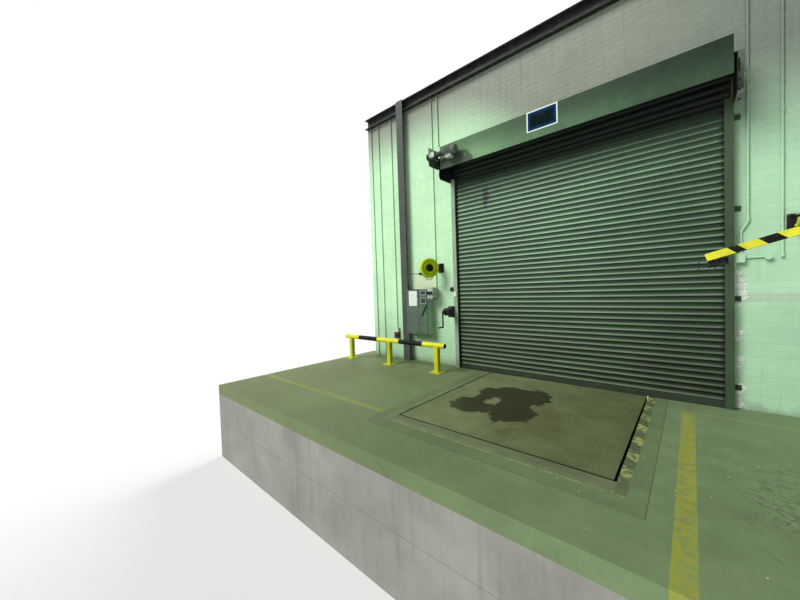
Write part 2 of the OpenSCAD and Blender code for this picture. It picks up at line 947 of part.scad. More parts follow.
// The barrel tube and its shaft, carried by the end plates and driven at its left end
module barrel() {
    half = guide_out - barrel_gap;
    shaft_left = motor_plate_x - motor_plate_t - chain_case_w - 4;
    shaft_right = guide_out + bearing_l - 2;
    color("gray")
        union() {
            rod_x(-half, half, barrel_y, barrel_z, barrel_r);
            rod_x(shaft_left, shaft_right, barrel_y, barrel_z, shaft_r);
        }
}

// An end plate whose top slopes down to the front, its wall flange and the shaft bearing
module end_plate() {
    r = end_plate_r;
    z0 = hood_z - end_plate_drop;
    z1 = hood_z + hood_h + end_plate_rise;
    x0 = guide_out;
    difference() {
        union() {
            along_x(x0, x0 + end_plate_t, concat(
                [[0, z0], [0, z1], [-hood_d, hood_z + end_plate_front]],
                arc([-hood_d + r, z0 + r], r, 180, 270, 6)
            ));
            block(x0, x0 + end_flange, -end_plate_t, 0, hood_z, z1);
            rod_x(x0, x0 + bearing_l, barrel_y, barrel_z, bearing_r);
            rod_x(x0, x0 + end_plate_t + 6, barrel_y, barrel_z, bearing_r + 25);
        }
        rod_x(x0 - eps, x0 + bearing_l + eps, barrel_y, barrel_z, shaft_r + pin_gap);
    }
}

module end_plate_left() {
    color("dimgray")
        mirror([1, 0, 0])
            end_plate();
}

module end_plate_right() {
    color("dimgray")
        end_plate();
}

// The sheet hood over the barrel, open below and at its ends
module hood() {
    half = guide_out - hood_end_gap;
    z0 = hood_z;
    z1 = hood_z + hood_h;
    d = hood_d;
    t = hood_t;
    color("seagreen")
        along_x(-half, half, [
            [0, z1 - t], [0, z1 + hood_flange], [-t, z1 + hood_flange], [-t, z1], [-d, z1],
            [-d, z0], [-d + hood_lip, z0], [-d + hood_lip, z0 + t], [-d + t, z0 + t],
            [-d + t, z1 - t]
        ]);
}

// A bare sign plate with a raised rim on the hood's front
module sign_plate() {
    rim = 16;
    back_t = 2;
    rim_t = 5;
    x0 = -287;
    x1 = x0 + sign_w;
    z1 = hood_z + hood_h;
    z0 = z1 - sign_h;
    y = -hood_d;
    color("navy")
        difference() {
            block(x0, x1, y - rim_t, y, z0, z1);
            block(x0 + rim, x1 - rim, y - rim_t - eps, y - back_t, z0 + rim, z1 - rim);
        }
}

// The door's motor with its plate, gear head, chain case and limit wheel
module motor_unit() {
    color("darkgray") {
        union() {
            chain_case();
            motor_plate();
            gear_head();
            motor_body();
        }
        limit_wheel();
    }
}

// A round-ended case for the chain from the barrel's shaft to the motor
module chain_case() {
    x1 = motor_plate_x - motor_plate_t;
    x0 = x1 - chain_case_w;
    a = atan2(motor_z - barrel_z, motor_y - barrel_y);
    difference() {
        along_x(x0, x1, concat(
            arc([barrel_y, barrel_z], chain_case_r, a - 90, a - 270, 12),
            arc([motor_y, motor_z], chain_case_r, a + 90, a - 90, 12)
        ));
        rod_x(x0 - eps, x1 + eps, barrel_y, barrel_z, shaft_r + pin_gap);
    }
}

// The plate that carries the motor, held off the end plate by two round spacers
module motor_plate() {
    y0 = motor_y - 70;
    y1 = motor_y + 220;
    z0 = motor_z - 175;
    z1 = motor_z + 140;
    facing_x(motor_plate_x - motor_plate_t, 0, 0)
        linear_extrude(motor_plate_t)
            polygon(rounded(y0, y1, z0, z1, 20));
    for (z = [z0 + 45, z0 + 140])
        rod_x(motor_plate_x - eps, -guide_out - end_plate_t, y1 - 40, z, 14);
}

// Gear head on the plate, with its output flange and the brake's neck
module gear_head() {
    x0 = motor_plate_x;
    x1 = x0 + gear_l;
    facing_x(x0 - eps, motor_y, motor_z)
        cylinder(r = 66, h = 16);
    facing_x(x0, 0, 0)
        linear_extrude(gear_l)
            polygon(rounded(motor_y - 55, motor_y + 55, motor_z - 62, motor_z + 58, 16));
    facing_x(x1 - eps, motor_y, motor_z)
        rotate_extrude()
            polygon([
                [0, 0], [54, 0], [54, 10], [neck_r, 18], [neck_r, neck_l - 26],
                [neck_r + 14, neck_l - 22], [neck_r + 14, neck_l - 10],
                [motor_r + 2, neck_l - 10], [motor_r + 2, neck_l + 4], [0, neck_l + 4]
            ]);
}

// Outline of a round body with fins that stand out fin_d from its root
function fin_outline(n, tip) = [
    for (i = [0:n - 1], k = [0:3])
        let (
            a = 360 / n * (i + [0, 0.42, 0.5, 0.92][k]),
            r = k < 2 ? tip : tip - fin_d
        )
        [r * cos(a), r * sin(a)]
];

// The finned motor, its domed fan cover and the terminal box under it
module motor_body() {
    x0 = motor_plate_x + gear_l + neck_l;
    x1 = x0 + motor_l;
    dome = 30;
    facing_x(x0, motor_y, motor_z)
        linear_extrude(motor_l)
            polygon(fin_outline(n_fins, motor_r));
    facing_x(x1 - 4, motor_y, motor_z)
        rotate_extrude()
            polygon(concat(
                [[0, 0], [motor_r + 2, 0]],
                arc([motor_r + 2 - dome, cover_l - dome], dome, 0, 90, 6),
                [[0, cover_l]]
            ));
    block(x0 + 25, x1 - 10, motor_y - 48, motor_y + 40, motor_z - motor_r - 44,
        motor_z - motor_r + fin_d + 4);
}

// A grooved wheel on the end plate, which turns with the shutter's limit switch
module limit_wheel() {
    r = 46;
    w = 44;
    x = -guide_out - end_plate_t - w;
    facing_x(x, -hood_d + 95, hood_z - 52)
        rotate_extrude()
            polygon([
                [0, 0], [20, 0], [20, 8], [r - 12, 8], [r - 12, 0], [r, 0], [r, 10],
                [r - 8, 18], [r - 8, w - 18], [r, w - 10], [r, w], [0, w]
            ]);
}

// Hand drive for power cuts: a gear case on the left guide with a ribbed drum and a neck
module crank_gear() {
    d = crank_case_d;
    r = crank_drum_r;
    l = crank_drum_l;
    color("black")
        difference() {
            union() {
                rounded_y(crank_x - 40, crank_x + 50, -d, -8, crank_z - 110, crank_z + 70, 12);
                block(crank_x - 50, crank_x + 50, -d + 20, 0, crank_z + 70, crank_z + 90);
                block(crank_x - 50, crank_x + 50, -8, 0, crank_z - 130, crank_z + 90);
                facing_room(crank_x, -d, crank_z)
                    rotate_extrude()
                        polygon([
                            [0, -eps], [r - 12, -eps], [r - 12, 20], [r, 26], [r, 52],
                            [r - 6, 56], [r - 6, 84], [r, 88], [r, l - 16], [r - 10, l - 3],
                            [r - 22, l], [30, l], [24, l + crank_neck_l], [0, l + crank_neck_l]
                        ]);
            }
            rod_y(crank_x, -crank_front - eps, -crank_front + 60, crank_z,
                crank_shaft_r + pin_gap);
        }
}

module crank_handle() {
    y = -crank_front - 6;
    arm_t = 14;
    half_w = 12;
    color("black")
        union() {
            rod_y(crank_x, y, -crank_front + 55, crank_z, crank_shaft_r);
            rod_y(crank_x, y - arm_t, y, crank_z, 18);
            block(crank_x - half_w, crank_x + half_w, y - arm_t, y, crank_z - crank_arm_l, crank_z);
            rod_y(crank_x, y - arm_t, y, crank_z - crank_arm_l, half_w);
            rod_y(crank_x, y - arm_t - crank_grip_l, y, crank_z - crank_arm_l, 8);
            rod_y(crank_x, y - arm_t - crank_grip_l, y - arm_t - 6, crank_z - crank_arm_l, 14);
        }
}

// A round sensor on the wall beside the left guide, and its target plate on the guide
module guide_sensor() {
    r = sensor_r;
    x = -guide_out - r - 1;
    color("black")
        union() {
            rounded_y(x - r + 8, x + r - 8, -30, 0, sensor_z - r, sensor_z + r, 10);
            facing_room(x, -30, sensor_z)
                rotate_extrude()
                    polygon([
                        [0, -eps], [r, -eps], [r, 58], [r - 6, 68], [r - 14, 68], [r - 16, 60],
                        [0, 60]
                    ]);
        }
    color("white")
        block(-guide_out + 4, -guide_out + 50, -guide_d - 12, -guide_d, sensor_z - 131,
            sensor_z - 41);
}

// A wall plate with two arms and the vertical pin between them
module pin_bracket(x, y, z) {
    arm_t = 12;
    half_w = 25;
    union() {
        rounded_y(x - 65, x + 65, -bracket_t, 0, z - bracket_h / 2, z + bracket_h / 2, 14);
        for (side = [-1, 1]) {
            arm_z = z + side * (hub_h / 2 + arm_t);
            translate([0, 0, arm_z - arm_t / 2])
                linear_extrude(arm_t)
                    polygon(concat(
                        [[x + half_w + 15, -bracket_t + eps]],
                        [[x - half_w - 15, -bracket_t + eps]],
                        arc([x, y], half_w, 180, 360, 8)
                    ));
        }
        translate([x, y, z - hub_h / 2 - 2 * arm_t])
            cylinder(r = bracket_pin_r, h = hub_h + 4 * arm_t);
    }
}

module reel_bracket() {
    color("black")
        pin_bracket(reel_swivel[0], reel_swivel[1], reel_pos[2]);
}

// Half of the reel's section, from the rim's edge to the hub: rings, a groove and a dish
function reel_face(z, s) =
    let (r = reel_r, e = reel_edge_r)
    [
        [r - e * 0.3, z - s * e * 0.3], [r - e, z], [r * 0.74, z], [r * 0.72, z - s * 7],
        [r * 0.67, z - s * 7], [r * 0.65, z + s * 3], [r * 0.52, z + s * 3],
        [reel_hub_r + 8, z - s * 14], [reel_hub_r, z - s * 14]
    ];

// The reel: two dished shells, the hub, the cable's outlet, a carrying loop and the rear arm
module reel_case() {
    w = reel_w;
    back = [reel_pos[0] - w / 2 * sin(reel_turn), reel_pos[1] + w / 2 * cos(reel_turn)];
    reach = [reel_swivel[0] - back[0], reel_swivel[1] - back[1]];
    difference() {
        union() {
            translate(reel_pos)
                rotate([0, 0, reel_turn])
                    facing_room(0, 0, 0) {
                        color("yellowgreen")
                            reel_shell();
                        reel_outlet();
                    }
            color("black")
                translate([reel_swivel[0], reel_swivel[1], reel_pos[2] - hub_h / 2])
                    cylinder(r = hub_r, h = hub_h);
            color("black")
                translate([back[0], back[1], reel_pos[2]])
                    rotate([0, 0, atan2(reach[1], reach[0])])
                        block(-30, norm(reach), -12, 12, -hub_h * 0.4, hub_h * 0.4);
        }
        translate([reel_swivel[0], reel_swivel[1], reel_pos[2] - hub_h])
            cylinder(r = bracket_pin_r + pin_gap, h = 2 * hub_h);
    }
}

// The shells meet at a shallow groove round the rim
module reel_shell() {
    z = reel_w / 2;
    cap = 12;
    rotate_extrude()
        polygon(concat(
            [[0, -z + 14]],
            [for (i = [8:-1:0]) reel_face(-z, -1)[i]],
            [
                [reel_r, -z + reel_edge_r], [reel_r, -4], [reel_r - 4, -2], [reel_r - 4, 2],
                [reel_r, 4], [reel_r, z - reel_edge_r]
            ],
            reel_face(z, 1),
            [[reel_hub_r, z + cap - 6], [reel_hub_r - 6, z + cap], [22, z + cap],
                [20, z + cap - 3], [0, z + cap - 3]]
        ));
}

// The cable's stopper with its coupling at the lower left, and the loop under the rim
module reel_outlet() {
    out_x = -0.76 * reel_r;
    out_y = -0.57 * reel_r;
    loop_y = -0.8 * reel_r;
    color("black")
        translate([out_x, out_y, 0])
            rotate([0, -90, 0])
                union() {
                    cylinder(r = 29, h = 20);
                    translate([0, 0, 20 - eps])
                        cylinder(r1 = 28, r2 = 9, h = 50);
                    cylinder(r = 6.5, h = 285);
                    translate([0, 0, 250])
                        cylinder(r = 9, h = 35);
                }
    color("black")
        translate([0, 0, -10])
            linear_extrude(20)
                polygon(concat(
                    arc([0, loop_y], 78, 180, 360, 12),
                    arc([0, loop_y], 70, 360, 180, 12)
                ));
}

// Wall bracket of the dock light, with a vertical pin
module light_bracket() {
    color("black")
        pin_bracket(light_x, light_swivel_y, dock_h + light_z);
}

// A flat arm with rounded edges, from one pivot to the next
module light_arm(p, q) {
    dx = q[0] - p[0];
    dy = q[1] - p[1];
    dz = q[2] - p[2];
    run = sqrt(dx * dx + dy * dy);
    len = sqrt(run * run + dz * dz);
    edge = 4;
    translate(p)
        rotate([0, 0, atan2(dy, dx)])
            rotate([0, -atan2(dz, run), 0])
                facing_x(0, 0, 0)
                    linear_extrude(len)
                        polygon(rounded(-arm_t / 2, arm_t / 2, -arm_d / 2, arm_d / 2, edge));
}

module light_inner_arm() {
    start = [light_x, light_swivel_y, dock_h + light_z];
    pin_hole = bracket_pin_r + pin_gap;
    color("gold")
        difference() {
            union() {
                light_arm(start, elbow + [0, 0, arm_rise]);
                translate(start - [0, 0, hub_h / 2])
                    cylinder(r = hub_r + 2, h = hub_h);
                translate(elbow + [0, 0, 20])
                    cylinder(r = hub_r + 2, h = 80);
            }
            translate(start - [0, 0, hub_h])
                cylinder(r = pin_hole, h = 2 * hub_h);
            translate(elbow + [0, 0, 10])
                cylinder(r = pin_hole, h = 100);
        }
}

// Moves children to the lamp's tilt pin, with local +X towards the arm's free end
module lamp_frame() {
    translate(lamp_pos)
        rotate([0, 0, lamp_turn])
            children();
}

// The outer arm carries the elbow pin at one end and, on its wall side, the lamp's lug
module light_outer_arm() {
    lug_front = -arm_t / 2;
    lug_back = lug_front - lamp_lug_t;
    color("gold")
        difference() {
            union() {
                light_arm(elbow - [0, 0, arm_step], arm_tip);
                translate(elbow - [0, 0, 65])
                    cylinder(r = hub_r + 2, h = 80);
                translate(elbow - [0, 0, 60])
                    cylinder(r = bracket_pin_r, h = 165);
                lamp_frame() {
                    rod_y(0, lug_back, lug_front, 0, 18);
                    block(-18, 18, lug_back, lug_front + eps, 0, 60);
                }
            }
            lamp_frame()
                rod_y(0, lug_back - 1, lug_front + 1, 0, lamp_pin_r + pin_gap);
        }
}

// The lamp hangs beside the arm and tilts on a pin through the arm's lug, with a nut in front:
// a ribbed case, a bezel round its glass, and a loop of lead from the bezel to the underside
module lamp_head() {
    near = -arm_t / 2 - lamp_lug_t - lamp_gap;
    far = near - lamp_w;
    back = -80;
    bezel = 53;
    front = 67;
    z0 = -60;
    z1 = 38;
    mid_y = (near + far) / 2;
    mid_z = (z0 + z1) / 2;
    nut_y = -arm_t / 2 + lamp_gap;
    rib_t = 5;
    color("black")
        lamp_frame()
            rotate([0, lamp_rest, 0])
                difference() {
                    union() {
                        facing_x(back + 24, 0, 0)
                            linear_extrude(bezel - back - 24)
                                polygon(rounded(far + 5, near - 5, z0 + 5, z1, 16));
                        for (x = [back, back + 12, back + 24])
                            facing_x(x, 0, 0)
                                linear_extrude(rib_t)
                                    polygon(rounded(far + 8, near - 8, z0 + 8, z1 - 4, 12));
                        facing_x(back, mid_y, mid_z)
                            cylinder(r = 30, h = 40);
                        facing_x(bezel - eps, 0, 0)
                            linear_extrude(front - bezel + eps)
                                polygon(rounded(far, near, z0, z1, 20));
                        rod_y(0, near - 10, near, 0, 18);
                        rod_y(0, near - 10, nut_y + 8, 0, lamp_pin_r);
                        rod_y(0, nut_y, nut_y + 8, 0, 11);
                        lamp_lead(near - 18);
                    }
                    facing_x(front - 8, mid_y, mid_z)
                        cylinder(r = 34, h = 10);
                }
}

// The lead's loop stands in a plane along the lamp, out of the bezel and back up from below
module lamp_lead(y) {
    loop_r = 65;
    lead_r = 3.5;
    translate([75, y, -40])
        rotate([90, 0, 0])
            rotate([0, 0, -170])
                rotate_extrude(angle = 275, $fn = 36)
                    translate([loop_r, 0])
                        circle(r = lead_r, $fn = 8);
}

// Posts with base plates; the rail tube lies in their saddles
module rail_posts() {
    hw = post_w / 2;
    hb = base_w / 2;
    color("gold")
        for (i = [0:2])
            translate([post_x(i), -rail_y, dock_h])
                difference() {
                    union() {
                        block(-hb, hb, -hb, hb, 0, base_t);
                        linear_extrude(rail_z)
                            polygon(rounded(-hw, hw, -hw, hw, 8));
                    }
                    rod_x(-post_w, post_w, 0, rail_z, rail_r + 0.1);
                    for (x = [-1, 1], y = [-1, 1])
                        translate([x * (hb - 25), y * (hb - 25), -eps])
                            cylinder(r = 7, h = base_t + 2 * eps);
                }
}

// The rail tube with a shallow domed cap at each end
module rail_tube() {
    cap = 14;
    x0 = post_x(0) - rail_overhang;
    len = post_x(2) + rail_overhang - x0;
    color("gold")
        facing_x(x0, -rail_y, dock_h + rail_z)
            rotate_extrude()
                polygon([
                    [0, 0], [rail_r - cap, 0], [rail_r - 3, cap / 2], [rail_r, cap],
                    [rail_r, len - cap], [rail_r - 3, len - cap / 2], [rail_r - cap, len],
                    [0, len]
                ]);
}

// Control cabinet beside the column: two doors, hinges, locks and the isolator's lever
module control_cabinet() {
    x0 = cabinet_x;
    x1 = x0 + cabinet_w;
    z1 = cabinet_z;
    z0 = z1 - cabinet_h;
    split = x0 + cabinet_w * door_split;
    front = -cabinet_d - door_t;
    color("darkseagreen")
        union() {
            block(x0, x1, -cabinet_d, 0, z0, z1);
            block(x0, x1, -cabinet_d - 16, 0, z1 - 3, z1);
            cabinet_door(x0 + door_edge, split - door_edge / 2, z0, z1);
            cabinet_door(split + door_edge / 2, x1 - door_edge, z0, z1);
            for (z = [z0 + 120, z1 - 120])
                translate([x0 + door_edge, front + 4, z - 30])
                    cylinder(r = 6, h = 60);
            for (z = [z0 + 200, z1 - 200])
                rod_y(split - 30, front - 6, front + eps, z, 14);
            window_frame(split + 50, x1 - 30, front, z1 - 120, z1 - 30);
            window_frame(split + 50, x1 - 30, front, z1 - 290, z1 - 175);
            translate([x1 - 26, front - 14, z1 - 322])
                rotate([0, 29, 0])
                    translate([-10, 0, -238])
                        cube([20, 14 + eps, 248]);
        }
}

// A door panel that stands proud of the cabinet
module cabinet_door(x0, x1, z0, z1) {
    rounded_y(x0, x1, -cabinet_d - door_t, -cabinet_d + eps, z0 + door_edge, z1 - door_edge, 6);
}

// A raised frame round a small window in a door
module window_frame(x0, x1, y, z0, z1) {
    rim = 8;
    difference() {
        block(x0, x1, y - 8, y + eps, z0, z1);
        block(x0 + rim, x1 - rim, y - 9, y - 2, z0 + rim, z1 - rim);
    }
}

// Socket box on the cabinet's side, with its conduit's box on the wall behind: two outlets
// that lean down, each in its collar
module socket_box() {
    half = socket_w / 2;
    lean = 25;
    z1 = socket_z + socket_h;
    color("gray")
        difference() {
            union() {
                rounded_y(socket_x - half, socket_x + half, -socket_front, -socket_back,
                    socket_z, z1, 8);
                block(socket_x - 10, socket_x + 50, -socket_back - eps, 0, z1 - 120,
                    z1 - socket_seat);
                for (side = [-1, 1])
                    socket_place(side, lean)
                        cylinder(r = socket_r, h = 55);
            }
            for (side = [-1, 1])
                socket_place(side, lean)
                    translate([0, 0, 30])
                        cylinder(r = socket_r - 6, h = 30);
        }
}

// Moves children to the root of an outlet, with local Z out of it
module socket_place(side, lean) {
    translate([socket_x + side * 32, -socket_front + 12, socket_z + socket_h * 0.62])
        rotate([90 + lean, 0, 0])
            children();
}

// Conduits clipped to the wall, each straight up to the eaves or to its fitting
module conduits() {
    top = dock_h + wall_h;
    outer_run = 120;
    inner_run = 350;
    motor_run = 217;
    motor_stop = 260;
    light_run = 93;
    bend = [[guide_out + 110, junction_z + 395], [guide_out + 56, junction_z + 289]];
    end_x = guide_out + 256;
    color("honeydew") {
        conduit(left_end_x + outer_run, dock_h, top);
        conduit(left_end_x + inner_run, dock_h, top);
        conduit(button_x, button_z + button_h, top);
        conduit(socket_x + socket_conduit, socket_z + socket_h - socket_seat, top);
        conduit(motor_plate_x - motor_run, hood_z + hood_h + motor_stop, top);
        conduit(light_x - light_run, junction_z - conduit_r, top);
        union() {
            conduit(bend[0][0], bend[0][1], top);
            conduit_slope(bend[0], bend[1]);
            conduit(bend[1][0], junction_z + junction_half - 5, bend[1][1]);
            junction_box(bend[1][0] - 12, junction_z);
            rod_x(bend[1][0] + 10, end_x, -conduit_r, junction_z, conduit_r - 2);
            junction_end(end_x, junction_z);
        }
    }
}

// An upright conduit on the wall with a coupling at its foot and every 1500 mm
module conduit(x, z0, z1) {
    coupling_l = 50;
    spacing = 1500;
    union() {
        translate([x, -coupling_r, z0])
            cylinder(r = conduit_r, h = z1 - z0);
        for (z = [z0:spacing:z1 - coupling_l])
            translate([x, -coupling_r, z])
                cylinder(r = coupling_r, h = coupling_l);
    }
}

// A sloping length with a slightly swollen elbow at each end
module conduit_slope(a, b) {
    d = b - a;
    elbow_r = conduit_r + 1;
    translate([a[0], -coupling_r, a[1]]) {
        sphere(r = elbow_r);
        rotate([0, atan2(d[0], d[1]), 0])
            cylinder(r = conduit_r, h = norm(d));
    }
    translate([b[0], -coupling_r, b[1]])
        sphere(r = elbow_r);
}

// A flat box with an overhanging lid
module junction_box(x, z) {
    h = junction_half;
    rounded_y(x - 38, x + 38, -46, 0, z - h, z + h, 6);
    rounded_y(x - 42, x + 42, -52, -42, z - h - 4, z + h + 4, 8);
}

// A round box that the level conduit ends in
module junction_end(x, z) {
    rod_y(x, -38, 0, z, 28);
    rod_y(x, -42, -34, z, 31);
}

// A push button box on the wall behind the guard rail, with a mushroom button in its lid
module button_box() {
    half = 50;
    z1 = button_z + button_h;
    color("white")
        union() {
            rounded_y(button_x - half, button_x + half, -60, 0, button_z, z1, 8);
            rounded_y(button_x - half - 3, button_x + half + 3, -68, -58, button_z - 3,
                button_z + button_h * 0.55, 10);
            facing_room(button_x, -68, button_z + button_h * 0.28)
                rotate_extrude()
                    polygon([
                        [0, -eps], [14, -eps], [14, 14], [26, 18], [26, 24], [16, 30], [0, 32]
                    ]);
        }
}

base_left();
base_right();
base_rear();
pit_floor();
floor_left();
floor_right();
floor_rear();
wall_left_end();
wall_left_pier();
wall_right_pier();
wall_over_door();
door_lintel();
column_left();
column_right();
eaves_beam();
pit_curb();
leveller_frame();
leveller_deck();
leveller_lip();
ram_cylinder();
ram_rod();
dock_bumpers();
guide_left();
guide_right();
curtain();
bottom_rail();
barrel();
end_plate_left();
end_plate_right();
hood();
sign_plate();
motor_unit();
crank_gear();
crank_handle();
guide_sensor();
reel_bracket();
reel_case();
light_bracket();
light_inner_arm();
light_outer_arm();
lamp_head();
rail_posts();
rail_tube();
control_cabinet();
socket_box();
button_box();
conduits();
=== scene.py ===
"""The dressed model of a loading dock bay: brick walls, bolts, treads, paint and wear."""
import json
import random
from math import atan2, cos, pi, radians, sin, tau

import bmesh
import bpy
from mathutils import Matrix, Vector


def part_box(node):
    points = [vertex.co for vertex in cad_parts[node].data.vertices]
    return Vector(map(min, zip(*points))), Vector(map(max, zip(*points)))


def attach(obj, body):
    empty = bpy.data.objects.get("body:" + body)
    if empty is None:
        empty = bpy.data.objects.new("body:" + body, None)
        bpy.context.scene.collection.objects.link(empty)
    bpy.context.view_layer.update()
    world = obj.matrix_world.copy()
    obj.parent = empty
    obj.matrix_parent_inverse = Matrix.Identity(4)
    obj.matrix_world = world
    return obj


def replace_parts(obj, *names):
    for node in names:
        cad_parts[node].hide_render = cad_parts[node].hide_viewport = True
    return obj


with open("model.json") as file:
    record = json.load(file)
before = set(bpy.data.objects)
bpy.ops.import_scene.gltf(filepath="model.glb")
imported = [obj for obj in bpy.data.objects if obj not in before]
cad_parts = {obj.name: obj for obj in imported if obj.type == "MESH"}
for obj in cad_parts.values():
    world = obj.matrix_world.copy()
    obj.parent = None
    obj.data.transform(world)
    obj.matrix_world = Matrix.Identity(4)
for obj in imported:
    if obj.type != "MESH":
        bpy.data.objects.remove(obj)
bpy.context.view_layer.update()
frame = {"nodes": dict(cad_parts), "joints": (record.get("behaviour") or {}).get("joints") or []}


def low(node):
    """A node's lowest corner."""
    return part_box(node)[0]


def high(node):
    """A node's highest corner."""
    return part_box(node)[1]


# Places that many pieces share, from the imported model

LINTEL_BEARING = 0.2
PIVOTS = {joint["name"]: Vector(joint["pos_m"]) for joint in frame["joints"] if "pos_m" in joint}
FLOOR_Z = high("floor_left").z
WALL_FACE = low("wall_over_door").y
WALL_BACK = high("wall_over_door").y
DOOR_HALF = high("door_lintel").x - LINTEL_BEARING
GUIDE_OUT = low("end_plate_right").x
HOOD_LOW = low("hood")
HOOD_HIGH = high("hood")

# Camera

CAMERA_PLACE = Vector((1.4625, -5.2447, 2.6654))
CAMERA_YAW = 0.732
CAMERA_PITCH = 0.0292
CAMERA_ROLL = -0.0341
CAMERA_LENS = 14.63


def make_camera():
    """The photograph's viewpoint, with its slight tilt."""
    ahead = Vector((-sin(CAMERA_YAW), cos(CAMERA_YAW), 0))
    right = Vector((cos(CAMERA_YAW), sin(CAMERA_YAW), 0))
    up = Vector((0, 0, 1))
    look = ahead * cos(CAMERA_PITCH) - up * sin(CAMERA_PITCH)
    top = up * cos(CAMERA_PITCH) + ahead * sin(CAMERA_PITCH)
    side = right * cos(CAMERA_ROLL) + top * sin(CAMERA_ROLL)
    top = top * cos(CAMERA_ROLL) - right * sin(CAMERA_ROLL)
    data = bpy.data.cameras.new("photo_camera")
    data.lens = CAMERA_LENS
    data.clip_end = 200
    camera = bpy.data.objects.new("photo_camera", data)
    turn = Matrix((side, top, -look)).transposed().to_4x4()
    camera.matrix_world = Matrix.Translation(CAMERA_PLACE) @ turn
    bpy.context.scene.collection.objects.link(camera)
    bpy.context.scene.camera = camera


# Materials are built from small steps

class Field:
    """A number or colour that varies over a surface. Fields add up and multiply as numbers do."""

    def __init__(self, finish, socket):
        self.finish = finish
        self.socket = socket

    def __add__(self, other):
        return self.finish.math("ADD", self, other)

    def __sub__(self, other):
        return self.finish.math("SUBTRACT", self, other)

    def __rsub__(self, other):
        return self.finish.math("SUBTRACT", other, self)

    def __mul__(self, other):
        return self.finish.math("MULTIPLY", self, other)


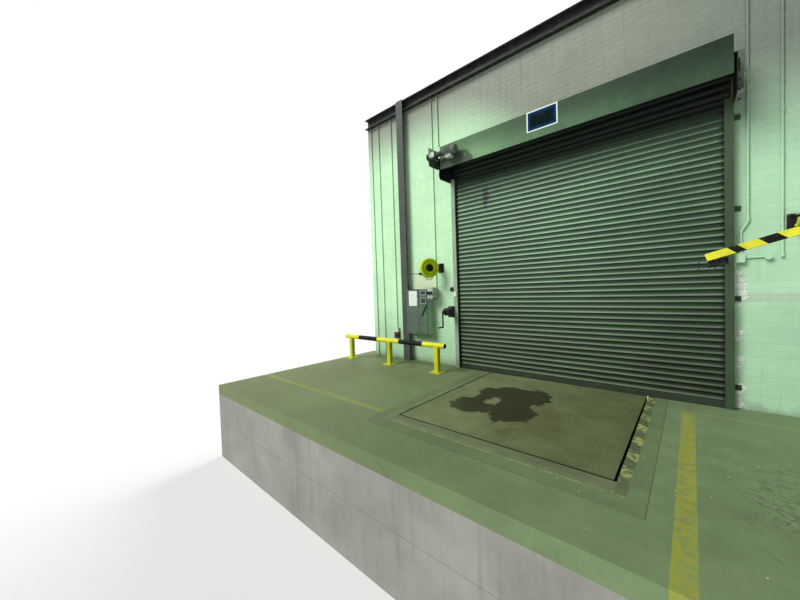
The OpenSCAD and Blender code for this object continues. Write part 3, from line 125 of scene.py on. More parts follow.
class Finish:
    """One material, whose node graph is put together step by step."""

    def __init__(self, name, roughness=0.5, metallic=0.0, gloss=0.2):
        self.material = bpy.data.materials.new(name)
        self.material.use_nodes = True
        self.nodes = self.material.node_tree.nodes
        self.links = self.material.node_tree.links
        self.shader = self.nodes["Principled BSDF"]
        self.feed(self.shader, {"Roughness": roughness, "Metallic": metallic, "Specular IOR Level": gloss})
        self.coords = self.make("TexCoord", "Object")

    def feed(self, node, inputs):
        """Links fields to a node's inputs, or sets plain values there."""
        for key, value in inputs.items():
            socket = node.inputs[key]
            if isinstance(value, Field):
                self.links.new(value.socket, socket)
            else:
                socket.default_value = (*value, 1.0) if socket.type == "RGBA" else value

    def make(self, kind, output, inputs=None, **settings):
        """One output of a new node, whose inputs and settings are given."""
        node = self.nodes.new("ShaderNode" + kind)
        for name, value in settings.items():
            setattr(node, name, value)
        self.feed(node, inputs or {})
        return Field(self, node.outputs[output])

    def local(self, place, turn=(0, 0, 0), size=(1, 1, 1)):
        """Coordinates in a frame at a place, turned and scaled."""
        inputs = {"Vector": self.coords, "Location": place, "Rotation": turn, "Scale": size}
        return self.make("Mapping", "Vector", inputs, vector_type="TEXTURE")

    def axes(self, vector=None):
        """The X, Y and Z of a vector."""
        node = self.nodes.new("ShaderNodeSeparateXYZ")
        self.feed(node, {0: vector or self.coords})
        return [Field(self, socket) for socket in node.outputs]

    def join(self, x, y, z):
        """A vector from three values."""
        return self.make("CombineXYZ", 0, {0: x, 1: y, 2: z})

    def noise(self, size, detail=3.0, roughness=0.5, vector=None, distortion=0.0):
        """Noise whose blobs are about as wide as size, in metres."""
        inputs = {"Vector": vector or self.coords, "Scale": 1 / size, "Detail": detail}
        inputs |= {"Roughness": roughness, "Distortion": distortion}
        return self.make("TexNoise", "Fac", inputs)

    def runs(self, size, flat):
        """Noise that is drawn out downwards, to 1 / flat of its width."""
        x, y, z = self.axes()
        return self.noise(size, 4.0, 0.6, self.join(x, y, z * flat))

    def cells(self, size, flat=False):
        """Distance from the points of a field of cells, in cell sizes."""
        inputs = {"Vector": self.coords, "Scale": 1 / size}
        return self.make("TexVoronoi", "Distance", inputs, voronoi_dimensions="2D" if flat else "3D")

    def upward(self):
        """How far a face looks up, from -1 to 1."""
        return self.axes(self.make("TexCoord", "Normal"))[2]

    def chance(self, value):
        """A random number that goes with a value."""
        return self.make("TexWhiteNoise", "Value", {"W": value}, noise_dimensions="1D")

    def tone(self):
        """The random tone that a mesh's faces carry."""
        return self.make("Attribute", "Fac", attribute_name="tone")

    def fit(self, value, start, end, to_start=0.0, to_end=1.0):
        """Maps a value smoothly from one range to another."""
        inputs = dict(enumerate((value, start, end, to_start, to_end)))
        return self.make("MapRange", "Result", inputs, interpolation_type="SMOOTHSTEP")

    def fall(self, value, start, end):
        """1 up to the start, falling to 0 at the end."""
        return self.fit(value, start, end, 1.0, 0.0)

    def sway(self, noise, low_end=0.0, high_end=1.0):
        """Spreads a noise, which mostly stays between 0.3 and 0.7, over a range."""
        return self.fit(noise, 0.3, 0.7, low_end, high_end)

    def math(self, kind, a, b=0.0):
        """One arithmetic step."""
        return self.make("Math", 0, {0: a, 1: b}, operation=kind)

    def most(self, first, *others):
        """The highest of some fields."""
        for other in others:
            first = self.math("MAXIMUM", first, other)
        return first

    def band(self, value, start, end, soft=0.002):
        """1 between start and end, with soft edges."""
        return self.fit(value, start - soft, start + soft) * self.fall(value, end - soft, end + soft)

    def spot(self, place, size, ragged=0.25, grain=0.08, soft=0.15):
        """A ragged blob of the given half sizes."""
        x, y, z = self.axes(self.local(place, size=size))
        wobble = self.fit(self.noise(grain, 4.0, 0.6), 0.25, 0.75, -ragged, ragged)
        reach = self.math("SQRT", x * x + y * y + z * z) + wobble
        return self.fall(reach, 1.0 - soft, 1.0 + soft)

    def mix(self, share, a, b):
        """A colour between two colours."""
        return self.make("Mix", 2, {0: share, 6: a, 7: b}, data_type="RGBA")

    def shade(self, colour, amount):
        """A colour made darker or lighter by a factor."""
        return self.make("VectorMath", 0, {0: colour, "Scale": amount}, operation="SCALE")

    def finish(self, colour, roughness=None, height=None, depth=0.001):
        """Connects the results to the shader."""
        results = {"Base Color": colour}
        if roughness is not None:
            results["Roughness"] = roughness
        if height is not None:
            bump = {"Strength": 1.0, "Distance": depth, "Height": height}
            results["Normal"] = self.make("Bump", "Normal", bump)
        self.feed(self.shader, results)
        return self.material


def painted_steel(name, colour, worn=(0.1, 0.07, 0.05), wear=0.25, dust=0.3):
    """Brushed or sprayed paint on steel, with dust, small chips and a faint orange peel."""
    f = Finish(name, gloss=0.16)
    cloud = f.noise(0.35, 5.0, 0.6)
    fine = f.noise(0.012, 4.0, 0.6)
    chips = f.fit(fine * 0.6 + f.noise(0.09, 3.0) * 0.4, 0.66 - wear * 0.1, 0.7)
    tone = f.mix(f.sway(cloud), f.shade(colour, 0.86), f.shade(colour, 1.1))
    dusty = f.mix(0.35, colour, (0.32, 0.31, 0.26))
    dusty = f.mix(f.fit(f.noise(0.12, 5.0, 0.65), 0.45, 0.75) * dust, tone, dusty)
    final = f.mix(chips * wear * 2.0, dusty, worn)
    return f.finish(final, f.sway(cloud, 0.42, 0.62), fine + chips * -1.5, 0.0004)


def plastic(name, colour, roughness=0.45, gloss=0.2):
    """Moulded plastic with fine grain and dust in it."""
    f = Finish(name, roughness, gloss=gloss)
    grain = f.noise(0.0025, 2.0)
    cloud = f.noise(0.06, 4.0, 0.6)
    dust = f.mix(0.3, colour, (0.22, 0.22, 0.19))
    final = f.mix(f.fit(cloud, 0.45, 0.75, 0.0, 0.35), colour, dust)
    return f.finish(final, f.sway(cloud, roughness - 0.05, roughness + 0.15), grain, 0.0002)


def bare_steel(name, colour=(0.42, 0.42, 0.4), roughness=0.38):
    """Zinc or bright steel that has dulled, with some rust."""
    f = Finish(name, roughness, 0.8)
    cloud = f.noise(0.02, 4.0, 0.6)
    rust = f.fit(f.noise(0.05, 5.0, 0.65), 0.56, 0.7, 0.0, 0.6)
    final = f.mix(rust, f.mix(cloud, f.shade(colour, 0.75), colour), (0.17, 0.08, 0.04))
    return f.finish(final, f.sway(cloud, roughness, roughness + 0.2), cloud, 0.0002)


# The wall's colours

MINT_LEFT = (0.52, 0.8, 0.51)
MINT_RIGHT = (0.39, 0.62, 0.41)
# Grey towards the roof: partly soot, partly painted shade
SHADE_AND_SOOT_OVER = (0.235, 0.26, 0.205)
SHADE_AND_SOOT_RIGHT = (0.155, 0.195, 0.15)
GRIME = (0.16, 0.17, 0.12)
SIDES = (-1.9, 1.9)
LEDGE_MARK = (2.41, 2.5)
OLD_PATCH_X = (-2.8, -2.33)
OLD_PATCH_Z = (2.69, 2.98)
FLAKES_TOP = 2.86


def room_side(f):
    """1 on the wall's face to the room, and 0 on the yard side."""
    return f.fall(f.axes()[1], WALL_FACE + 0.03, WALL_FACE + 0.05)


def edge_wobble(f):
    """What makes the edge of old paint ragged."""
    return f.sway(f.noise(0.05, 6.0, 0.75), -0.025, 0.025)


def wall_tone(f):
    """The wall's paint by its place: mint, turning grey towards the roof, which is partly soot and partly
    painted shade.
    """
    x, y, z = f.axes()
    cloud = f.noise(0.9, 5.0, 0.55)
    mint = f.mix(f.fit(x, *SIDES), MINT_LEFT, MINT_RIGHT)
    low_left = f.fit(x, *SIDES, 0.78, 1.0)
    mint = f.shade(mint, f.fit(z, FLOOR_Z, 2.8, low_left, 1.0))
    # Partly soot and partly painted shade: grey towards the roof
    shade_and_soot = f.mix(f.fit(x, 0.4, 2.2), SHADE_AND_SOOT_OVER, SHADE_AND_SOOT_RIGHT)
    start = f.fit(x, *SIDES, 5.35, 3.75)
    end = f.fit(x, SIDES[0], 0.4, 6.45, 5.35)
    paint = f.mix(f.fit(z + cloud * 0.25, start, end), mint, shade_and_soot)
    paint = f.shade(paint, f.fit(cloud, 0.25, 0.75, 0.93, 1.06))
    foot = f.fit(z + f.noise(0.15, 5.0, 0.6) * 0.25, FLOOR_Z + 0.11, FLOOR_Z + 0.24, 0.5, 0.0)
    paint = f.mix(foot, paint, GRIME)
    strip = f.band(z, *LEDGE_MARK, 0.01) * f.fit(x, GUIDE_OUT + 0.06, GUIDE_OUT + 0.11)
    paint = f.mix(strip * room_side(f) * 0.6, paint, (0.4, 0.46, 0.37))
    wobble = edge_wobble(f)
    patch = f.band(x + wobble, *OLD_PATCH_X, 0.02) * f.band(z + wobble, *OLD_PATCH_Z, 0.02)
    return f.mix(patch * room_side(f) * 0.7, paint, (0.58, 0.64, 0.4))


def wall_paint():
    """Thick paint on brickwork, with runs, dents, and flakes beside the door."""
    f = Finish("wall_paint", 0.6)
    x, y, z = f.axes()
    paint = f.shade(wall_tone(f), f.fit(f.tone(), 0.0, 1.0, 0.975, 1.02))
    runs = f.runs(0.05, 0.06)
    paint = f.shade(paint, f.fit(runs, 0.52, 0.8, 1.0, 0.8))
    reach = f.fit(f.noise(0.3, 2.0, vector=f.join(0.0, 0.0, z)), 0.42, 0.58, 0.006, 0.1)
    edge = x + edge_wobble(f) - reach
    bare = f.fall(edge, GUIDE_OUT - 0.002, GUIDE_OUT + 0.004) * f.fit(x, GUIDE_OUT - 0.01, GUIDE_OUT)
    bare = bare * room_side(f) * f.fall(z, FLAKES_TOP - 0.02, FLAKES_TOP + 0.02)
    crust = f.mix(f.fit(f.noise(0.012, 4.0, 0.7), 0.45, 0.55), (0.46, 0.52, 0.46), (0.92, 0.95, 0.92))
    paint = f.mix(bare * 0.95, paint, crust)
    dents = f.fit(f.noise(0.035, 3.0), 0.64, 0.74) * f.fit(f.noise(0.5, 2.0), 0.45, 0.6)
    height = f.noise(0.014, 4.0, 0.65) * 0.5 + dents * -1.2 + bare * -0.6
    return f.finish(paint, f.sway(runs, 0.5, 0.7), height, 0.0016)


def mortar_paint():
    """The joints, under the same paint and a little darker."""
    f = Finish("mortar_paint", 0.7)
    dim = f.fit(f.axes()[0], 0.0, 2.0, 0.86, 0.95)
    paint = f.shade(wall_tone(f), f.fit(f.noise(0.25, 4.0), 0.35, 0.65, dim, 1.0))
    return f.finish(paint, None, f.noise(0.006, 4.0, 0.7), 0.002)


def pipe_paint():
    """The conduits, brushed over with the wall's paint."""
    f = Finish("pipe_paint", 0.5)
    chips = f.fit(f.noise(0.02, 5.0, 0.7), 0.66, 0.72, 0.0, 0.7)
    paint = f.mix(chips, f.shade(wall_tone(f), 1.04), (0.3, 0.31, 0.29))
    return f.finish(paint, None, f.noise(0.01, 3.0), 0.0004)


def concrete(name, colour, pit=0.5):
    """Cast concrete with blow holes, board marks and stains."""
    f = Finish(name, 0.8, gloss=0.2)
    x, y, z = f.axes()
    cloud = f.noise(0.7, 6.0, 0.6)
    holes = f.fall(f.cells(0.05), 0.05, 0.12)
    sparse = holes * f.fit(f.noise(0.12, 2.0), 0.5, 0.62)
    runs = f.runs(0.07, 0.08)
    boards = f.fall(f.math("PINGPONG", z, 0.3), 0.0, 0.008)
    tone = f.mix(f.fit(cloud, 0.25, 0.75), f.shade(colour, 0.78), f.shade(colour, 1.15))
    tone = f.mix(f.fit(runs, 0.5, 0.75, 0.0, 0.4), tone, f.shade(colour, 0.55))
    tone = f.mix((sparse * pit + boards * 0.4) * 0.8, tone, f.shade(colour, 0.45))
    height = f.noise(0.006, 4.0, 0.7) * 0.4 + (sparse + boards) * -1.0
    return f.finish(tone, f.sway(cloud, 0.7, 0.9), height, 0.0025)


# Floor marks: the long yellow line beside the leveller, the cross line, and the infill's edge

SIDE_LINE = (1.372, 1.48)
SIDE_LINE_END = -0.45
CROSS_LINE = (-2.53, -2.44)
INFILL_X = (-1.33, 1.24)
INFILL_Y = -2.8
JOINT_HALF = 0.003
FLOOR_NEAR = (0.138, 0.2, 0.098)
FLOOR_FAR = (0.145, 0.185, 0.08)
OLD_YELLOW = (0.28, 0.3, 0.045)


def floor_paint():
    """Power-floated concrete, worn by wheels, with scuffed yellow lines."""
    f = Finish("floor_paint", 0.55, gloss=0.15)
    x, y, z = f.axes()
    broad = f.noise(1.6, 5.0, 0.6, distortion=0.4)
    cloud = f.noise(0.28, 6.0, 0.62)
    fine = f.noise(0.018, 5.0, 0.7)
    tone = f.mix(f.fall(x, -3.8, 1.0), FLOOR_NEAR, FLOOR_FAR)
    tone = f.shade(tone, f.sway(broad, 0.9, 1.1))
    tone = f.shade(tone, f.fit(cloud, 0.35, 0.7, 0.96, 1.1))
    tone = f.shade(tone, f.sway(fine, 0.95, 1.05))
    tracks = f.noise(0.1, 4.0, 0.6, f.join(x, y * 0.07, z))
    tone = f.mix(f.fit(tracks, 0.6, 0.8, 0.0, 0.12), tone, (0.085, 0.105, 0.065))
    smears = f.fit(f.noise(0.3, 6.0, 0.7, distortion=1.2), 0.6, 0.72, 0.0, 0.35)
    tone = f.mix(smears, tone, (0.08, 0.105, 0.062))
    scuffs = f.fit(f.noise(0.05, 6.0, 0.75, distortion=0.8), 0.46, 0.6)
    by_line = f.spot((2.25, -2.05, FLOOR_Z), (0.55, 0.7, 1.0), 0.5, 0.25, 0.4)
    tone = f.mix(scuffs * by_line * 0.6, tone, (0.06, 0.078, 0.048))
    infill = f.band(x, *INFILL_X, JOINT_HALF) * f.fit(y, INFILL_Y - JOINT_HALF, INFILL_Y + JOINT_HALF)
    tone = f.shade(tone, f.fit(infill, 0.0, 1.0, 1.0, 0.86))
    worn = f.fit(f.noise(0.06, 5.0, 0.7) * 0.7 + tracks * 0.3, 0.42, 0.62, 0.95, 0.3)
    side = f.band(x, *SIDE_LINE, 0.004) * f.fall(y, SIDE_LINE_END - 0.03, SIDE_LINE_END)
    cross = f.band(y, *CROSS_LINE, 0.004) * f.fall(x, INFILL_X[0] - 0.05, INFILL_X[0])
    along = f.band(y, SIDE_LINE_END - 0.03, SIDE_LINE_END + 0.03, 0.01)
    along = along * f.fit(x, SIDE_LINE[0], SIDE_LINE[0] + 0.02, 0.0, 0.35)
    lines = f.most(side, cross * 0.7, along)
    tone = f.mix(lines * worn, tone, OLD_YELLOW)
    edges = f.most(*[f.band(x, place - JOINT_HALF, place + JOINT_HALF) for place in INFILL_X])
    edges = edges * f.fit(y, INFILL_Y - 0.004, INFILL_Y)
    near_edge = f.band(y, INFILL_Y - JOINT_HALF, INFILL_Y + JOINT_HALF) * f.band(x, *INFILL_X)
    joint = f.most(edges, near_edge)
    tone = f.mix(joint * f.sway(cloud, 0.2, 0.7), tone, (0.035, 0.045, 0.028))
    specks = f.fall(f.cells(0.3, True), 0.012, 0.02) * f.fit(f.noise(0.5, 2.0), 0.52, 0.56)
    tone = f.mix(specks * 0.8, tone, (0.62, 0.66, 0.58))
    rough = f.sway(cloud, 0.45, 0.62)
    height = fine * 0.4 + cloud * 0.8 + joint * -1.5
    return f.finish(tone, rough, height, 0.0012)


DECK_LEFT = (0.145, 0.178, 0.083)
DECK_RIGHT = (0.092, 0.118, 0.05)
DECK_FRONT = PIVOTS["deck_hinge"].y + 0.012

# The wet patch: the middle and half sizes of each lobe, in X and Y
WET_LOBES = (
    (-0.38, -1.15, 0.38, 0.5), (-0.16, -1.02, 0.26, 0.34),
    (-0.56, -1.62, 0.32, 0.26), (-0.12, -1.62, 0.24, 0.36),
)


def deck_steel(name):
    """Worn tread plate with a dark wet patch and polished high spots."""
    f = Finish(name, 0.55, 0.05, 0.15)
    x, y, z = f.axes()
    cloud = f.noise(0.35, 6.0, 0.62)
    fine = f.noise(0.02, 5.0, 0.7)
    tone = f.mix(f.fit(x, -1.0, 1.0), DECK_LEFT, DECK_RIGHT)
    tone = f.shade(tone, f.sway(cloud, 0.84, 1.18))
    tone = f.mix(f.fit(fine, 0.52, 0.72, 0.0, 0.35), tone, (0.13, 0.1, 0.06))
    polished = f.fit(z, FLOOR_Z + 0.0006, FLOOR_Z + 0.0016)
    tone = f.mix(polished * 0.35, tone, (0.26, 0.28, 0.19))
    lobes = [f.spot((*lobe[:2], FLOOR_Z), (*lobe[2:], 1.0), 0.24, 0.16, 0.05) for lobe in WET_LOBES]
    dry = f.spot((-0.455, -1.383, FLOOR_Z), (0.085, 0.13, 1.0), 0.5, 0.08, 0.12)
    top = f.fit(z, FLOOR_Z - 0.02, FLOOR_Z - 0.01)
    wet = f.most(*lobes) * top * (1.0 - dry)
    damp = f.spot((0.12, -1.62, FLOOR_Z), (0.38, 0.5, 1.0), 0.45, 0.16, 0.2)
    tone = f.mix(damp * 0.55, tone, (0.09, 0.088, 0.036))
    tone = f.mix(wet * 0.92, tone, (0.026, 0.024, 0.012))
    tone = f.mix(f.fall(y, DECK_FRONT - 0.001, DECK_FRONT + 0.001), tone, (0.01, 0.01, 0.008))
    rough = f.fit(wet, 0.0, 1.0, 0.55, 0.36)
    return f.finish(tone, rough, fine + cloud, 0.0005)


HAZARD_PITCH = 0.17


def curb_steel():
    """Curb steel with the last of its yellow and black bands."""
    f = Finish("curb_paint", 0.5)
    x, y, z = f.axes()
    bands = f.fit(f.math("PINGPONG", x + y, HAZARD_PITCH), HAZARD_PITCH * 0.46, HAZARD_PITCH * 0.54)
    steel = f.mix(f.sway(f.noise(0.2, 5.0)), (0.105, 0.14, 0.072), (0.165, 0.205, 0.112))
    paint = f.mix(bands, (0.07, 0.092, 0.048), (0.33, 0.36, 0.09))
    fresh = f.fit(x, 1.0, 1.02) * f.fit(y, -2.6, -2.0, 0.5, 1.0)
    steel = f.shade(steel, f.fit(fresh, 0.0, 1.0, 1.0, 0.75))
    limit = f.fit(fresh, 0.0, 1.0, 0.6, 0.48)
    worn = f.fit(f.noise(0.07, 6.0, 0.7), limit, limit + 0.04)
    final = f.mix(worn * f.fit(fresh, 0.0, 1.0, 0.45, 0.85), steel, paint)
    edge = low("pit_curb").y + 0.017
    line = f.fall(y, edge - 0.003, edge + 0.003) * f.fit(f.noise(0.12, 5.0, 0.7), 0.46, 0.52, 0.1, 0.7)
    final = f.mix(line, final, (0.3, 0.32, 0.12))
    return f.finish(final, f.fit(worn, 0.0, 1.0, 0.42, 0.6), f.noise(0.015, 4.0), 0.0006)


SLAT_TOP = (0.12, 0.225, 0.125)
SLAT_FOOT = (0.06, 0.088, 0.05)
SLAT_PITCH = 0.075
FIRST_SLAT = 0.086


def slat_steel():
    """Painted steel slats, each a little different and darker towards the right, with painted shade
    towards the foot, in the guides and under the hood, and painted light on faces that look up.
    """
    f = Finish("slat_paint", 0.32, gloss=0.17)
    x, y, z = f.axes()
    number = f.math("FLOOR", (z - (FLOOR_Z + FIRST_SLAT)) * (1 / SLAT_PITCH))
    each = f.chance(number)
    along = f.noise(0.5, 5.0, 0.6, f.join(x, y * 4.0, z * 4.0))
    streaks = f.runs(0.03, 0.05)
    # Painted shade: the slats darken from the top towards the foot
    tone = f.mix(f.fit(z, FLOOR_Z + 0.1, 4.1), SLAT_FOOT, SLAT_TOP)
    tone = f.shade(tone, f.fit(x, 0.0, 1.75, 1.0, 0.63))
    # Painted light: faces that look up are lighter, faces that look down darker
    tone = f.shade(tone, f.fit(f.upward(), 0.0, 0.56, 0.34, 2.25))
    tone = f.shade(tone, f.fit(each, 0.0, 1.0, 0.9, 1.1))
    # Painted shadow of the hood: the top of the curtain goes dark
    painted_shadow = f.fit(z + along * 0.1, 4.46, 4.64, 1.0, 0.14)
    tone = f.shade(tone, painted_shadow)
    tone = f.shade(tone, f.sway(along, 0.84, 1.14))
    tone = f.mix(f.fit(streaks, 0.55, 0.78, 0.0, 0.4), tone, (0.035, 0.048, 0.03))
    # A dark smear, and painted shade where the slat ends run into the guides, ragged at the right
    smear = f.spot((-1.16, -0.06, 4.2), (0.055, 0.2, 0.15), 0.5, 0.05, 0.4)
    ends = f.fit(x + f.noise(0.05, 4.0, 0.6, f.join(x * 0.3, y, z)) * 0.12, 1.755, 1.8)
    ends = f.most(ends, f.fall(x, -1.725, -1.712))
    tone = f.mix(f.most(smear * 0.9, ends) * 0.85, tone, (0.012, 0.014, 0.01))
    rough = f.sway(along, 0.26, 0.38) + f.fit(z, FLOOR_Z, 3.6, 0.1, 0.0)
    return f.finish(tone, rough, f.noise(0.008, 3.0), 0.0002)


def hood_paint():
    """The hood's cloudy paint, lighter at its left end and along its foot, with a painted shadow of the
    motor and painted shade inside.
    """
    f = Finish("hood_paint", 0.6, gloss=0.08)
    x, y, z = f.axes()
    cloud = f.noise(0.3, 6.0, 0.6, distortion=0.8)
    fine = f.noise(0.05, 5.0, 0.65, distortion=0.5)
    tone = f.mix(f.fit(x, -0.7, 1.75), (0.088, 0.158, 0.085), (0.026, 0.052, 0.028))
    tone = f.mix(f.fit(x + cloud * 0.5, -1.0, -0.1, 0.85, 0.0), tone, (0.185, 0.33, 0.17))
    tone = f.shade(tone, f.fit(z + cloud * 0.15, HOOD_LOW.z + 0.06, HOOD_HIGH.z, 1.25, 0.6))
    tone = f.shade(tone, f.sway(cloud, 0.8, 1.15))
    tone = f.shade(tone, f.fit(fine, 0.35, 0.75, 0.93, 1.1))
    runs = f.runs(0.1, 0.12)
    tone = f.mix(f.fit(runs, 0.6, 0.8, 0.0, 0.3), tone, (0.03, 0.042, 0.028))
    # Painted shadow of the motor on the hood's front
    painted_shadow = f.spot((-1.52, HOOD_LOW.y, 4.79), (0.34, 1.0, 0.17), 0.3, 0.12, 0.12)
    tone = f.mix(painted_shadow * 0.85, tone, (0.034, 0.046, 0.032))
    # Painted shade: the hood's faces behind its front, below the top flange, go near black
    inside = f.fit(y, HOOD_LOW.y + 0.0005, HOOD_LOW.y + 0.0015)
    painted_inner_shade = inside * f.fall(z, HOOD_HIGH.z - 0.029, HOOD_HIGH.z - 0.0275)
    tone = f.mix(painted_inner_shade * 0.8, tone, (0.012, 0.014, 0.012))
    return f.finish(tone, f.sway(cloud, 0.42, 0.6), f.noise(0.25, 3.0), 0.004)


def sign_face():
    """A plain blue field with a dark panel, inside a white rim."""
    f = Finish("sign_enamel", 0.45, gloss=0.0)
    x, y, z = f.axes()
    a, b = low("sign_plate"), high("sign_plate")

    def within(margin_x, margin_z, soft):
        across = f.band(x, a.x + margin_x, b.x - margin_x, soft)
        return across * f.band(z, a.z + margin_z, b.z - margin_z, soft)

    inside = within(0.017, 0.017, 0.001)
    panel = within(0.05, 0.06, 0.002)
    blue = f.mix(panel, (0.006, 0.028, 0.085), (0.005, 0.012, 0.011))
    field = f.mix(f.fit(f.noise(0.08, 4.0), 0.5, 0.8, 0.0, 0.15), blue, (0.06, 0.09, 0.1))
    final = f.mix(inside, (0.66, 0.78, 0.7), field)
    return f.finish(final, f.sway(f.noise(0.05, 4.0), 0.25, 0.45), f.noise(0.1, 2.0), 0.0008)


ELBOW = PIVOTS["elbow_swing"] + Vector((0, 0, 0.06))
ARM_TIP = Vector((1.566, -0.9, 2.88))
ARM_DROP = Vector((0, 0, 0.1))
ARM_SLANT = 0.65
ARM_PERIOD = 0.13
MOTOR_Z = 4.9745
WHEEL_Y = -0.355
WHEEL_Z = 4.698
WHEEL_R = 0.05
YELLOW = (0.68, 0.68, 0.035)
BLACK = (0.005, 0.006, 0.005)


# Mesh helpers

def new_piece(name, bm, material, body="bay", smooth=False):
    """Turns mesh data into a piece that rides on a body."""
    bmesh.ops.recalc_face_normals(bm, faces=bm.faces)
    for face in bm.faces:
        face.smooth = smooth
    mesh = bpy.data.meshes.new(name)
    bm.to_mesh(mesh)
    bm.free()
    if smooth:
        mesh.set_sharp_from_angle(angle=radians(38))
    mesh.materials.append(material)
    piece = bpy.data.objects.new(name, mesh)
    bpy.context.scene.collection.objects.link(piece)
    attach(piece, body)
    return piece


def add_loops(bm, loops):
    """A closed form through loops of points, each with the same number of points."""
    rings = [[bm.verts.new(point) for point in loop] for loop in loops]
    count = len(rings[0])
    faces = [bm.faces.new(rings[0]), bm.faces.new(reversed(rings[-1]))]
    for lower, upper in zip(rings, rings[1:]):
        for i in range(count):
            j = (i + 1) % count
            faces.append(bm.faces.new((lower[i], lower[j], upper[j], upper[i])))
    return faces


def pose(place, direction):
    """A frame at a place whose Z runs along a direction."""
    turn = Vector(direction).to_track_quat("Z", "Y").to_matrix().to_4x4()
    return Matrix.Translation(Vector(place)) @ turn


def add_turned(bm, at, profile, segments=16, start=0.0):
    """A turned form: radii and heights along the frame's Z, from bottom to top."""
    loops = []
    for radius, height in profile:
        angles = [start + tau * i / segments for i in range(segments)]
        loops.append([at @ Vector((radius * cos(a), radius * sin(a), height)) for a in angles])
    return add_loops(bm, loops)


def add_bolt(bm, place, direction, radius=0.009, shank=0.0):
    """A hexagon head on a washer, with an optional threaded end."""
    at = pose(place, direction)
    washer = radius * 0.25
    head = washer + radius * 1.1
    add_turned(bm, at, [(radius * 1.55, -0.0005), (radius * 1.55, washer * 0.8), (radius * 1.45, washer)])
    corner = radius * 1.12
    add_turned(
        bm, at,
        [(corner, washer - 0.0002), (corner, head - radius * 0.18), (radius * 0.92, head)],
        6, place[0] * 7.0 + place[2] * 5.0,
    )
    if shank:
        thread = radius * 0.6
        profile = [(thread, head - 0.0005), (thread, head + shank - 0.001), (thread * 0.8, head + shank)]
        add_turned(bm, at, profile, 10)


def add_rivet(bm, place, direction, radius=0.005):
    """A low domed rivet head."""
    dome = [(1.0, 0.15), (0.8, 0.42), (0.4, 0.58)]
    profile = [(radius, -0.0005)] + [(radius * share, radius * rise) for share, rise in dome]
    add_turned(bm, pose(place, direction), profile, 10)


def dress(material, *nodes):
    """Puts a material on CAD nodes."""
    for node in nodes:
        slots = frame["nodes"][node].data.materials
        slots.clear()
        slots.append(material)


# Brick walls: painted bricks stand a little proud of their joints on both faces

COURSE = 0.075
BRICK = 0.225
JOINT = 0.01
RECESS = 0.0011
PILLOW = 0.004
ROOT = 0.012
SLIVER = 0.012


def subtract(rect, hole):
    """What is left of a rectangle (x0, x1, z0, z1) outside a hole."""
    x0, x1, z0, z1 = rect
    a0, a1, b0, b1 = hole
    if x1 <= a0 or x0 >= a1 or z1 <= b0 or z0 >= b1:
        return [rect]
    parts = [(x0, a0, z0, z1), (a1, x1, z0, z1)]
    middle = (max(x0, a0), min(x1, a1))
    parts += [(*middle, z0, b0), (*middle, b1, z1)]
    return [p for p in parts if p[1] - p[0] > SLIVER and p[3] - p[2] > SLIVER]


def add_brick(bm, tone, rect, face_y, inward, chance):
    """One brick's painted face, whose root stands in the wall's core."""
    x0, x1, z0, z1 = rect
    front = face_y + inward * chance.uniform(0, 0.0008)

    def loop(inset, depth):
        y = front + inward * depth
        corners = [(x0, z0), (x1, z0), (x1, z1), (x0, z1)]
        ways = [(1, 1), (-1, 1), (-1, -1), (1, -1)]
        return [Vector((x + inset * a, y, z + inset * b)) for (x, z), (a, b) in zip(corners, ways)]

    rounded = loop(PILLOW * 0.35, RECESS * 0.35)
    faces = add_loops(bm, [loop(0, ROOT), loop(0, RECESS), rounded, loop(PILLOW, 0)])
    value = chance.random()
    for face in faces:
        face[tone] = value


def wall_outline(node):
    """The rectangle that a node fills, seen from the room."""
    a, b = low(node), high(node)
    return a.x, b.x, a.z, b.z


WALLS = ("wall_left_end", "wall_left_pier", "wall_right_pier", "wall_over_door")
LINTEL_RECT = wall_outline("door_lintel")
DOOR_RECT = (-DOOR_HALF, DOOR_HALF, FLOOR_Z, LINTEL_RECT[2])


def brick_rects(x_start, x_end, top):
    """Half-bonded bricks between two ends, cut at the doorway and its lintel."""
    for k in range(int((top - FLOOR_Z) / COURSE) + 1):
        z0 = FLOOR_Z + k * COURSE + JOINT / 2
        z1 = min(z0 + COURSE - JOINT, top)
        if z1 - z0 < SLIVER:
            continue
        x = x_start - (k % 2) * BRICK / 2
        while x < x_end:
            rects = [(max(x + JOINT / 2, x_start), min(x + BRICK - JOINT / 2, x_end), z0, z1)]
            x += BRICK
            for hole in (DOOR_RECT, LINTEL_RECT):
                rects = [part for rect in rects for part in subtract(rect, hole)]
            yield from [rect for rect in rects if rect[1] - rect[0] >= SLIVER]


def wall_bricks():
    """Brick faces and a core for every wall node."""
    chance = random.Random(11)
    face = wall_paint()
    core = mortar_paint()
    outlines = {node: wall_outline(node) for node in WALLS}
    meshes = {}
    for node in WALLS:
        bm = bmesh.new()
        meshes[node] = (bm, bm.faces.layers.float.new("tone"))
    for face_y, inward in ((WALL_FACE, 1), (WALL_BACK, -1)):
        for span in ("wall_left_end", "wall_over_door"):
            for rect in brick_rects(*outlines[span][:2], outlines["wall_over_door"][3]):
                across, up = (rect[0] + rect[1]) / 2, (rect[2] + rect[3]) / 2
                for node, (a, b, c, d) in outlines.items():
                    if a <= across <= b and c <= up <= d:
                        add_brick(*meshes[node], rect, face_y, inward, chance)
                        break
    for node in WALLS:
        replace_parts(new_piece(node + "_bricks", meshes[node][0], face), node)
        new_piece(node + "_core", wall_core(node, outlines[node]), core)


